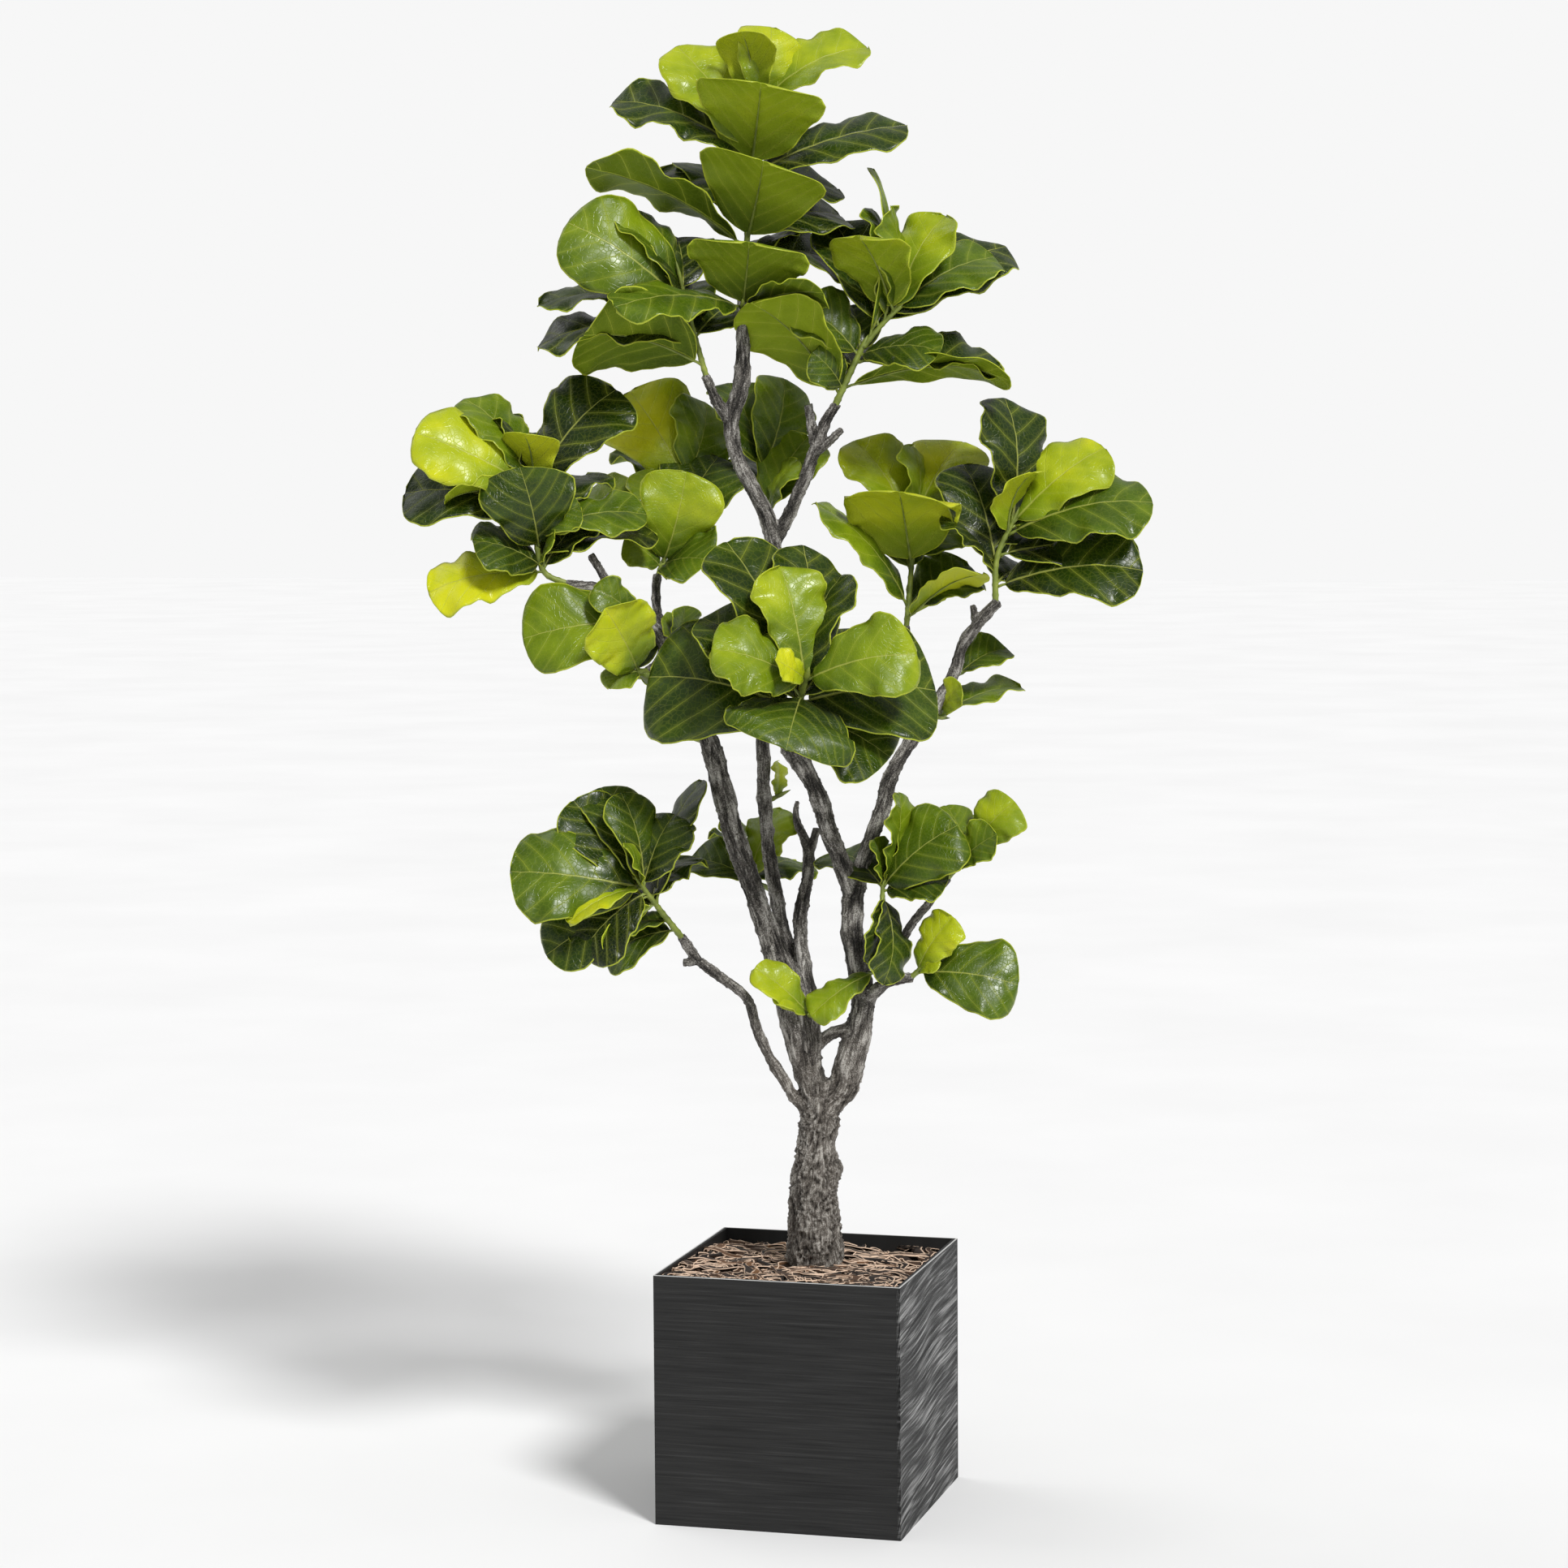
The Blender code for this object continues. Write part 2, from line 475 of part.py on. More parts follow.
def make_mulch(root_cutter):
    inside = PLANTER_SIDE / 2 - PLANTER_WALL - GAP
    bm = bmesh.new()
    bmesh.ops.create_grid(bm, x_segments=MULCH_CELLS, y_segments=MULCH_CELLS, size=inside)
    for vertex in bm.verts:
        vertex.co.z = mulch_height(vertex.co.x, vertex.co.y)
    sides = bmesh.ops.extrude_face_region(bm, geom=bm.faces[:])
    for element in sides["geom"]:
        if isinstance(element, bmesh.types.BMVert):
            element.co.z = SOIL_TOP + GAP
    underside = [face for face in bm.faces if all(v.co.z < SOIL_TOP + 2 * GAP for v in face.verts)]
    bmesh.ops.dissolve_faces(bm, faces=underside)
    mulch = new_object("bark_mulch", mesh_from(bm, "bark_mulch"), parts)
    boolean(mulch, "DIFFERENCE", root_cutter)
    mulch.data.materials.append(finish_material("bark_mulch", "shredded_bark"))


def grow_branches(name, collection, extra=0.0):
    """All branches joined into one grown solid, thicker by extra on every side."""
    limbs = new_collection(name + "_limbs", cutters)
    trunk = new_object(name, stem_mesh(BRANCHES["trunk"], name, extra, sides=2), collection)
    for limb, points in BRANCHES.items():
        if limb != "trunk":
            label = name + "_" + limb
            as_guide(new_object(label, stem_mesh(points, label, extra), limbs))
    boolean(trunk, "UNION", limbs)
    return trunk


def grow_shoot(name, axis, leaves, branch_cutter):
    """A leafy shoot: its stem and its leaves in one solid, cut to meet the branch."""
    blades = new_collection(name + "_leaves", cutters)
    shoot = new_object(name, stem_mesh(axis, name, sides=0), parts)
    for number, (up, x, y, z, width, turn) in enumerate(leaves, 1):
        label = f"{name}_leaf_{number}"
        mesh = leaf_mesh(point_up(axis, up), Vector((x, y, z)), width, turn, label)
        as_guide(new_object(label, mesh, blades))
    boolean(shoot, "UNION", blades)
    boolean(shoot, "DIFFERENCE", branch_cutter)
    shoot.data.materials.append(finish_material(name, "fig_leaf"))


def main():
    global parts, cutters
    clear_scene()
    parts = new_collection("potted_fiddle_leaf_fig")
    cutters = new_collection("cutters_and_guides")
    trunk = grow_branches("trunk_and_branches", parts)
    trunk.data.materials.append(finish_material("trunk_and_branches", "fig_bark"))
    branch_cutter = as_guide(grow_branches("branch_clearance", cutters, extra=GAP))
    mesh = stem_mesh(BRANCHES["trunk"], "root_clearance", extra=GAP, sides=2)
    root_cutter = as_guide(new_object("root_clearance", mesh, cutters))
    make_planter()
    make_soil(root_cutter)
    make_mulch(root_cutter)
    for name, shoot in SHOOTS.items():
        grow_shoot(name, shoot["axis"], shoot["leaves"], branch_cutter)


main()
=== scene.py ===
"""Looks for the potted fiddle leaf fig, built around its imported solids.

The planter stands on the origin with its sides along X and Y. The tree has a frame of its
own, the tree frame: x across, y away from the front, z up, turned about Z by TREE_TURN.
Branches and shoots are given in that frame in centimetres.
"""
import math
import random

import bmesh
import bpy
import numpy as np
from mathutils import Matrix, Vector, kdtree, noise


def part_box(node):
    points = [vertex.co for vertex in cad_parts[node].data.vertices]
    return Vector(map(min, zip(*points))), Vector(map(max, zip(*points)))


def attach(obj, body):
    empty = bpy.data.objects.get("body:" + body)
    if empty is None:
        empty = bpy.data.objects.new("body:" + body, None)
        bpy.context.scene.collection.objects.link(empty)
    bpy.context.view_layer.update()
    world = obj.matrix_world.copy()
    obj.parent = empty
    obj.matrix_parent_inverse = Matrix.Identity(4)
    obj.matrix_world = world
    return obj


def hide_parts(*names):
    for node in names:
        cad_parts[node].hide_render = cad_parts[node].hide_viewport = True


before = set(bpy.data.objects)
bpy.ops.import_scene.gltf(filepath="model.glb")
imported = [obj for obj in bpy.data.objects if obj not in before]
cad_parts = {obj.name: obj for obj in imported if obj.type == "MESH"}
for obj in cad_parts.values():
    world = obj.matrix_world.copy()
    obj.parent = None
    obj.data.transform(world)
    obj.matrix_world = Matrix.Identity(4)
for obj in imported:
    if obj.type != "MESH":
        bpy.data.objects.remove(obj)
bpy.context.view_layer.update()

CM = 0.01
TREE_TURN = math.radians(15.4)
tree_place = Matrix.Rotation(TREE_TURN, 4, "Z")
CAMERA_ROLL = math.radians(-0.3635)
SKY_GLOW = 0.42
SUN_STRENGTH = 2.8

# Planter and mulch, in metres
WALL = 0.006
PLANTER_INSIDE = 0.350 / 2 - WALL
WALL_CUTS = 60
WALL_ROWS = 240
SOIL_TOP = 0.300
MULCH_TOP = 0.328
MULCH_SLOPE = 0.04
MULCH_BUMP = 0.004
SHRED_CEILING = 0.3475
SHRED_COUNT = 480
CRUMB_COUNT = 700

# Leaves: lengths in cm, except the blade's thickness in metres
LEAF_ACROSS = 16
LEAF_ALONG = 30
LEAF_TIP_CROWD = 0.12
LEAF_ARCH = 0.09
LEAF_FOLD = 0.22
LEAF_SKIN = 0.0009
LEAF_SPREAD = 1.22
STALK_SHARE = 0.07
STALK_RINGS = 18
STALK_GIRTH = 0.9
VEIN_PAIRS = 5.5
VEIN_SLANT = 0.72
VEIN_BEND = 0.7
VEIN_STAGGER = 0.35
BARK_CELL = 0.28

# Blade outlines: place along the blade, and half width as a share of the full half width
EGG_OUTLINE = (
    (0.0, 0.05), (0.04, 0.26), (0.10, 0.44), (0.22, 0.66), (0.38, 0.84), (0.54, 0.95),
    (0.66, 1.0), (0.77, 0.98), (0.87, 0.87), (0.93, 0.71), (0.97, 0.49), (0.99, 0.29), (1.0, 0.10),
)
FIDDLE_OUTLINE = (
    (0.0, 0.05), (0.04, 0.28), (0.10, 0.44), (0.20, 0.56), (0.32, 0.64), (0.44, 0.72),
    (0.56, 0.85), (0.68, 0.97), (0.77, 1.0), (0.87, 0.91), (0.93, 0.75), (0.97, 0.52),
    (0.99, 0.31), (1.0, 0.10),
)

# Leaf tones, in the order of each shoot's leaves: 0 is darkest green, 9 is young yellow green
TONES = {
    "crown_shoot": (7, 8, 8, 7, 7, 2, 2, 6, 4, 2, 1, 1, 3, 3, 2, 2),
    "neck_shoot": (5, 4, 4),
    "left_top_shoot": (5, 3, 2, 1, 3, 1, 4, 2, 2),
    "right_top_shoot": (6, 2, 5, 6, 7, 4, 1, 7, 2),
    "right_top_lower_shoot": (4, 2, 3, 1, 5, 3, 1, 6, 2),
    "far_left_shoot": (8, 5, 1, 1, 1, 9, 7, 3, 3, 9, 5, 0, 4, 0, 5, 2, 2),
    "back_left_shoot": (9, 7, 6, 6, 6, 4, 6, 3, 4, 4),
    "back_middle_shoot": (5, 5, 6, 6, 4),
    "left_knee_shoot": (6, 5),
    "left_low_shoot": (8, 6, 2),
    "left_bud_shoot": (4, 5),
    "back_right_shoot": (8, 7, 9, 9, 6, 3, 9, 5, 5),
    "far_right_shoot": (1, 8, 4, 8, 4, 1, 2, 1, 1, 2, 2),
    "right_upper_bud_shoot": (4,),
    "right_lower_bud_shoot": (5, 7),
    "front_shoot": (7, 6, 6, 9, 2, 2, 2, 2, 2, 2, 3, 2, 8, 2, 2),
    "left_stem_single_leaf": (6,),
    "low_left_shoot": (1, 2, 3, 2, 4, 2, 0, 8, 6, 6, 5, 3, 1, 2, 2),
    "middle_back_shoot": (6, 3, 7, 3, 3),
    "tall_stem_single_leaf": (8,),
    "low_right_shoot": (5, 5, 4, 3, 4, 2, 2, 3, 3),
    "low_far_right_shoot": (7, 5, 5, 5),
    "low_right_tip_shoot": (8, 7, 4),
    "trunk_front_shoot": (8, 8),
    "low_right_twig_leaf": (7,),
}

# The trunk and its branches, grown as one: each line of points is (x, y, z, radius) in cm.
BRANCHES = {
    "trunk": (
        (0.5, 0, 24, 5.4), (0.6, 0, 30, 4.8), (0.9, 0, 34, 3.9), (0.9, 0, 42, 3.5),
        (1.2, 0, 49, 3.0), (1.6, 0, 55, 2.6), (1.6, 0, 60, 2.3),
    ),
    "left_stem": (
        (1.4, 0, 57, 1.9), (0, 0, 62, 2.1), (-0.8, -0.5, 66, 2.3), (-3, -1, 74, 2.0),
        (-5, -1.5, 80, 1.6), (-7, -2, 86, 1.4), (-10, -2.5, 95, 1.45), (-12.5, -3, 105, 1.4),
        (-14, -4, 110, 1.15), (-16.5, -4, 115, 1.1), (-19, -4, 121, 1.05),
        (-22, -4, 125, 1.0), (-27, -4, 129, 0.85), (-33, -5, 130, 0.65),
    ),
    "left_stem_up_twig": ((-26.5, -4, 128.5, 0.7), (-28, -4, 131.5, 0.65), (-29.5, -4, 134, 0.55)),
    "left_stem_side_twig": ((-19, -4, 121, 0.7), (-20.5, -1, 127, 0.6), (-20.5, 3, 131, 0.55)),
    "left_stem_low_twig": ((-19, -4, 121.5, 0.6), (-20.8, -4, 118.6, 0.5), (-22, -4.5, 118, 0.45)),
    "tall_stem": (
        (-1.5, -0.5, 73, 1.3), (-3, 2, 79.5, 1.0), (-4, 3, 85, 0.9), (-5.5, 4, 94, 0.88),
        (-6, 5, 104, 0.9), (-6, 5, 110, 0.95), (-5.3, 5, 120, 0.95), (-4, 5, 132, 1.0),
        (-5, 4, 138.5, 1.0), (-7.5, 3, 143.5, 0.95), (-9.4, 2, 148, 0.95), (-10, 1, 152, 1.05),
        (-8.6, 0, 157.5, 1.15), (-8.3, 0, 161, 1.0), (-8.4, 0, 165, 0.8), (-8, 0, 172, 0.6),
    ),
    "tall_stem_left_twig": ((-9.8, 1, 152, 0.85), (-12, 0, 155, 0.7), (-13.5, -2, 158.5, 0.6)),
    "tall_stem_right_twig": (
        (-4, 5, 135.5, 0.9), (-0.5, 4, 143, 0.85), (1.7, 3, 148.5, 0.85), (3, 2, 152, 0.75),
        (4.6, 1, 154.5, 0.65),
    ),
    "upper_stub": ((1.7, 3, 148, 0.7), (0.6, 3, 154.5, 0.6)),
    "lower_stub": ((2, 3, 148, 0.6), (5.3, 1, 151, 0.5)),
    "right_stem": (
        (2.4, 0, 56, 2.0), (5, 0, 59.5, 2.1), (6, 0, 63, 2.0), (7.2, 0, 67.5, 1.8),
        (7.8, 0, 72, 1.6), (6.9, 0, 77.5, 1.5), (6.3, 0, 82, 1.5), (6.7, 0, 87.5, 1.5),
    ),
    "front_branch": (
        (6.5, 0, 86, 1.2), (4.7, -1, 91.5, 1.15), (3.2, -2, 95, 1.2), (1.8, -4, 100, 1.2),
        (-0.4, -7, 105, 1.3), (-2.3, -10, 108, 1.1), (-2.3, -13, 111, 0.8),
    ),
    "right_branch": (
        (6.6, 0, 86, 1.2), (7.8, 1, 90.5, 1.1), (9.4, 2, 94.5, 1.0), (11, 3, 99, 0.95),
        (12, 3, 102.5, 0.95), (14.3, 4, 106.5, 0.9), (17.4, 4, 111, 0.9), (20.4, 4, 116, 0.85),
        (22, 4, 120.5, 0.8), (24, 3, 123.7, 0.8), (27, 2, 127, 0.7),
    ),
    "right_branch_stub": ((24, 3, 123.5, 0.6), (23.5, 3, 126.5, 0.5)),
    "right_branch_side_twig": ((17.4, 4, 111, 0.65), (14.8, 6, 117, 0.55), (14.3, 7, 123.5, 0.5)),
    "middle_stem": (
        (0.6, -0.8, 64.5, 1.2), (0.6, -1, 71, 1.1), (-0.3, -0.6, 75.5, 1.0), (-0.9, 0.6, 80, 0.95),
        (-0.7, 2, 84, 0.95), (0.2, 4, 88.5, 0.85), (0.4, 6, 91.5, 0.8), (-0.5, 8, 94, 0.6),
        (-1.5, 9, 96.5, 0.5), (-1.1, 10, 98.5, 0.35),
    ),
    "middle_stub": ((0.4, 6, 91, 0.6), (1.4, 6.4, 95, 0.5)),
    "low_left_stem": (
        (0.8, 0, 55, 0.9), (-2, -0.6, 58, 0.8), (-3.5, -1, 60.5, 0.75), (-5.2, -2, 63.5, 0.7),
        (-6.8, -3, 67, 0.7), (-7.9, -3, 71, 0.65), (-9, -4, 73, 0.65), (-11, -4, 74.5, 0.65),
        (-13, -5, 76, 0.65), (-15.3, -5, 78, 0.6), (-17.5, -6, 81.3, 0.55),
    ),
    "low_left_stub": ((-15, -5, 77.8, 0.55), (-17.2, -4.5, 77.4, 0.5)),
    "low_right_stem": (
        (7.7, 0, 71, 0.9), (9.5, -1, 72.7, 0.8), (11.2, -2, 74, 0.75), (12.8, -3, 74.7, 0.7),
        (14.7, -4, 75, 0.6),
    ),
    "low_right_up_twig": (
        (12, -2.5, 74.3, 0.6), (12.5, -3, 77.5, 0.6), (14.3, -3, 82, 0.55), (17.5, -4, 86, 0.5),
        (19.7, -4, 89, 0.45),
    ),
    "low_middle_twig": ((10.4, -1.5, 73.3, 0.6), (10.6, -2, 80, 0.55), (10.5, -3, 85.5, 0.5)),
    "bridge": ((0.6, 0, 64.6, 0.9), (3.4, 0, 66.6, 0.8), (6.4, 0, 67.6, 0.9)),
}

# Leafy shoots. "axis" is the shoot's own stem, as (x, y, z, radius) in cm, from inside the
# branch that carries it. Each leaf is (up, x, y, z, width, turn): how far up the shoot it
# leaves it, the way from there to its tip, and its full width, all in cm; then its turn
# about its own length in degrees, where 0 shows its upper face to the front, 90 turns that
# face up, or to the right on an upright leaf, and 180 shows the underside.
SHOOTS = {
    "crown_shoot": {
        "axis": ((-8.1, 0, 171, 0.45), (-7.2, 0, 184, 0.4), (-6.4, 0, 197, 0.25)),
        "leaves": (
            (18, -10.5, 5, 15, 10, 40), (25, -1.5, -2, 9.5, 8, 150), (25.5, 2.5, 2, 10, 8, 20),
            (24, 15.5, 3, 9, 9, 50), (16, 1.5, -8.5, 11, 15, 178), (17, -19, 4, 9, 10, 45),
            (15, 21.5, 4, 7, 10, 50), (6, 2.5, -9, 10.5, 15, 176), (5, -22, -2, 11, 9, 110),
            (13.5, 12, 8, 0, 8, 60), (4.5, 14, 10, -2, 9, 55), (7, 13, 10, 3, 10, 45),
            (8, -6, 14, 10, 11, 30), (19, 4, 13, 9, 10, 25), (11, -13, 12, 5, 10, 50),
            (3, 4, 14, 4, 11, 60),
        ),
    },
    "neck_shoot": {
        "axis": ((-8.3, 0, 167, 0.4), (-8.3, -2.4, 168, 0.35)),
        "leaves": ((2.2, 1, -8, 8.5, 14, 175), (2, 11, -6, 2, 8, 110), (2, -17, -14, 0, 9, 60)),
    },
    "left_top_shoot": {
        "axis": ((-13.3, -1.8, 158, 0.4), (-15.5, -2.5, 166, 0.35), (-16.9, -3, 172, 0.25)),
        "leaves": (
            (10, -16, -3, 12, 12, 30), (10.5, -9, 2, 13, 9, 65), (11, -5, 5, 11, 9, 60),
            (12.5, -1, 8, 8, 8, 20), (9, -21, 3, 2, 9, 75), (5, -22, 0, 1, 10, 60),
            (2, -16, -8, 4, 14, 130), (8, -4, 14, 6, 10, 40), (6, 6, 12, 5, 10, 40),
        ),
    },
    "right_top_shoot": {
        "axis": ((8.3, 1, 162.3, 0.4), (10.5, 1, 165, 0.35), (13, 1, 167.5, 0.3)),
        "leaves": (
            (1, 2, 2, 24, 6, 65), (3.5, -6, 8, 15, 9, 30), (4.5, -1, 4, 16, 8, 50),
            (6, 0, 0, 15, 8, 65), (6.3, 7, 3, 14, 8, 30), (6.5, 14, 4, 8, 11, 45),
            (5, 17, 9, 11, 10, 40), (6.4, -5, -8, 10.5, 10, 150), (4, 9, 14, 6, 11, 50),
        ),
    },
    "right_top_lower_shoot": {
        "axis": ((4.2, 1.3, 154, 0.5), (5.6, 1, 157, 0.45), (8, 1, 162, 0.4)),
        "leaves": (
            (8, -8, 1, 7, 9, 40), (8.3, -1, 5, 7, 7, 30), (8, 11, -5, 1, 9, 60),
            (7, 21, 3, -1, 10, 60), (3, 23, -4, 2, 9, 110), (3, -4, -3, 5, 6, 30),
            (3, -4, 4, 8, 6, 50), (2, -12, -6, 13, 11, 140), (6, -3, 14, 4, 10, 50),
        ),
    },
    "far_left_shoot": {
        "axis": (
            (-32.6, -5, 130, 0.45), (-36, -5.5, 132, 0.4), (-37, -6, 138, 0.35),
            (-37, -6, 144, 0.3),
        ),
        "leaves": (
            (15, -16, -4, 8, 10, 30), (15.3, -9, 3, 13, 8, 60), (15, -5, 5, 11, 6, 65),
            (15.5, 11, 4, 13.5, 11, 35), (12, -18, 2, 3, 11, 45), (15, -1, -4, 8, 7, 160),
            (14, -12, -4, 0, 6, 110), (7, -2, -5, 11, 11, 15), (4.5, -9, -4, 4, 9, 50),
            (3.5, -16, -3, -2, 9, 50), (4.5, 2, -4, 4, 5, 80), (4, 7, 4, 8, 9, 40),
            (9, 6, -1, 4, 6, 40), (6, 16, 4, 3, 7, 70), (9, 15, 2, 3, 8, 65),
            (10, -8, 14, 5, 11, 50), (12, 6, 13, 5, 11, 50),
        ),
    },
    "back_left_shoot": {
        "axis": (
            (-20.5, 2.6, 130.7, 0.4), (-18, 10, 138, 0.35), (-16.5, 15, 145, 0.3),
        ),
        "leaves": (
            (18, -8, 4, 13, 12, 15), (2.5, 3.5, -2, 13, 10, 20), (9, -14, 5, 5, 9, 40),
            (9, -3, 5, 9, 8, 20), (18.4, 3, 5, 11, 10, 30), (2, 7, -6, 1, 10, 60),
            (2, -5, -2, 4, 6, 40), (10, 6, 6, 10, 12, 20), (15, -6, 14, 6, 11, 50),
            (17, 5, 13, 3, 9, 60),
        ),
    },
    "back_middle_shoot": {
        "axis": ((-4.2, 4.5, 136.5, 0.4), (-5.5, 10, 141, 0.35), (-6, 12, 146, 0.3)),
        "leaves": (
            (11.5, 3.5, 4, 13.5, 9, 30), (12, -4.5, 4, 12.5, 10, 40), (6, 6, 3, 10, 9, 35),
            (4, 4, -1, 8, 6, 75), (9, -2, 14, 4, 10, 50),
        ),
    },
    "left_knee_shoot": {
        "axis": ((-22.3, -4, 125, 0.4), (-22.8, -6.6, 124.6, 0.35)),
        "leaves": ((2.3, -16, -2, -2, 11, 30), (2.3, -6, -3, 5, 5, 40)),
    },
    "left_low_shoot": {
        "axis": ((-21.6, -4.4, 118.1, 0.35), (-23.4, -6, 118, 0.3)),
        "leaves": ((2, -4, -9, 9, 9, 20), (1.8, -4, -3, -2, 5, 50), (1.8, -1, 3, 6, 6, 30)),
    },
    "left_bud_shoot": {
        "axis": ((-18.9, -4, 121.2, 0.35), (-17.8, -6, 121.6, 0.3)),
        "leaves": ((2, 1.5, -1, 5.5, 5, 45), (2, -1.5, -2, 4, 4, 70)),
    },
    "back_right_shoot": {
        "axis": ((14.3, 6.9, 123, 0.4), (15.2, 8, 133, 0.35), (15.5, 9, 138, 0.3)),
        "leaves": (
            (14, -8, 4, 13, 10, 35), (15, 0.5, 3, 11, 7, 60), (15, 7, 6, 12, 10, 30),
            (9, -2, -9, 11, 14, 175), (3, -13, -3, 15, 9, 60), (3, 9, 6, 6, 9, 45),
            (1.5, 10, -5, 7, 9, 110), (8, -5, 13, 8, 10, 40), (10, 7, 13, 6, 10, 40),
        ),
    },
    "far_right_shoot": {
        "axis": ((26.6, 2.1, 126.5, 0.45), (26.8, 2, 133, 0.4), (29, 2, 138, 0.3)),
        "leaves": (
            (11.5, 0, 4, 18, 10, 30), (11.5, 13, 2, 11, 9, 35), (10, 20, -2, 5, 11, 45),
            (10, 3, -5, 9, 8, 120), (11, 11, 4, 4, 6, 70), (7, 20, 3, 1, 10, 50),
            (2.5, 20, -4, 3, 11, 50), (5, -4, 5, 15, 10, 25), (4, -7, 1, 9, 7, 65),
            (8, 7, 15, 4, 11, 50), (3, 6, 14, 1, 10, 60),
        ),
    },
    "right_upper_bud_shoot": {
        "axis": ((20.6, 4, 116.4, 0.35), (21.8, 5.8, 116.8, 0.3)),
        "leaves": ((1.9, 7, 3, 3.5, 6, 50),),
    },
    "right_lower_bud_shoot": {
        "axis": ((17.2, 4, 110.8, 0.35), (18.8, 5.6, 110.6, 0.3)),
        "leaves": ((2, 12, 4, 4.5, 7, 70), (2, 3, -4, 5, 4, 40)),
    },
    "front_shoot": {
        "axis": (
            (-2.3, -12.6, 110.6, 0.5), (-1.3, -18.5, 113, 0.45), (0, -24, 118, 0.35),
        ),
        "leaves": (
            (13, -3, 2, 15.5, 9, 20), (13.3, -12, -5, 5, 10, 35), (13.3, 14.5, -4, 4, 10, 35),
            (13.5, -4, -5, 3, 4, 30), (11, -10, 6, 20, 11, 30), (10, -13, 4, 11, 11, 35),
            (11.5, 0, 7, 19, 9, 30), (12, 5, 5, 15, 10, 45), (7, -20, 2, 5, 16, 30),
            (8.5, 18.5, 2, 2, 15, 30), (10, -2, -10, -6, 15, 10), (6.5, 12.5, -3, -6, 13, 40),
            (5, 4, -4, -2, 4, 40), (8, -5, 8, 10, 9, 40), (9, 9, 8, 9, 9, 45),
        ),
    },
    "left_stem_single_leaf": {
        "axis": ((-13.4, -3.4, 107.6, 0.35), (-15, -1.4, 108.2, 0.3)),
        "leaves": ((2.3, -9, 5, 9.5, 8, 65),),
    },
    "low_left_shoot": {
        "axis": (
            (-17.2, -5.8, 80.9, 0.45), (-20, -9, 85, 0.4), (-22.5, -13, 89, 0.3),
        ),
        "leaves": (
            (11, -10, 4, 12, 9, 25), (11, -6, 6, 14, 8, 40), (11.6, -3, 2, 13, 7, 45),
            (11.8, 4, 3, 10, 8, 30), (11.5, -18, -3, 3, 12, 25), (10, -14, -2, -8, 8, 30),
            (10.7, -9, -3, -8, 9, 40), (11.8, -10, -6, -4, 5, 60), (11.8, -2, -4, 6, 4, 80),
            (8, -7, -5, -7, 5, 120), (4, -7, 3, -1, 5, 60), (2, -10, 2, -4, 8, 55),
            (7.5, 6, 5, 17, 8, 65), (7, -10, 9, 4, 9, 50), (9, 3, 11, 4, 9, 50),
        ),
    },
    "middle_back_shoot": {
        "axis": ((-4.4, 3, 86.4, 0.4), (-8, 9, 87.5, 0.35)),
        "leaves": (
            (7, -4, 4, 10, 7, 65), (6, -9, 3, 3, 8, 55), (7, 4.5, 3, 10, 7, 40),
            (7, -2, 12, 4, 9, 50), (6.8, 7, 10, 2, 8, 60),
        ),
    },
    "tall_stem_single_leaf": {
        "axis": ((-5.8, 4.6, 98.8, 0.35), (-4, 5.6, 99.6, 0.3)),
        "leaves": ((2, 0.5, 1, 5, 4, 50),),
    },
    "low_right_shoot": {
        "axis": ((10.5, -3, 85, 0.4), (10.6, -3, 88, 0.3)),
        "leaves": (
            (2.8, 2.5, -1, 13, 7, 65), (2.8, 3, 3, 11, 7, 70), (2.5, 10, -3, 9, 10, 40),
            (2, 9, -3, 2, 8, 60), (2.5, -1, -2, 7, 5, 60), (1.5, -2, -4, -9, 5, 50),
            (1.5, 0.5, -4, -12, 6, 50), (2.5, 5, 12, 5, 9, 50), (2.5, -6, 10, 4, 9, 50),
        ),
    },
    "low_far_right_shoot": {
        "axis": ((19.5, -4, 88.7, 0.35), (21.6, -4, 91.4, 0.35), (23.5, -4, 94, 0.3)),
        "leaves": (
            (6.2, 5.5, -1, 6, 7, 30), (2, 5.5, -3, 5, 6, 50), (6, 3, 7, 4, 7, 50),
            (5, -3, 4, 6, 6, 40),
        ),
    },
    "low_right_tip_shoot": {
        "axis": ((14.4, -3.9, 75, 0.4), (15.4, -4.6, 76, 0.35)),
        "leaves": ((1.3, 5, -2, 8, 6, 40), (1.4, 3, -3, 2, 3, 60), (1.3, 14, -2, -1.5, 10, 40)),
    },
    "trunk_front_shoot": {
        "axis": ((0.5, -1, 69.3, 0.35), (0.3, -3.4, 69.8, 0.3)),
        "leaves": ((2.3, -7.5, -2, 7, 5, 40), (2.3, -5, -2, 4, 4, 50)),
    },
    "low_right_twig_leaf": {
        "axis": ((10.4, -1.7, 75.6, 0.3), (9.4, -3.6, 75.8, 0.28)),
        "leaves": ((2, -9, -2, -6, 5, 50),),
    },
}


# ---------------------------------------------------------------- helpers

def new_piece(name, mesh, *materials):
    piece = bpy.data.objects.new(name, mesh)
    bpy.context.scene.collection.objects.link(piece)
    for material in materials:
        piece.data.materials.append(material)
    return piece


def stand_for(piece, slot, *nodes):
    """Puts a finished piece on the part's one body, in place of the CAD nodes named."""
    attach(piece, "root")
    if nodes:
        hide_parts(*nodes)
    return piece


def to_mesh(bm, name):
    mesh = bpy.data.meshes.new(name)
    bm.to_mesh(mesh)
    bm.free()
    mesh.shade_smooth()
    return mesh


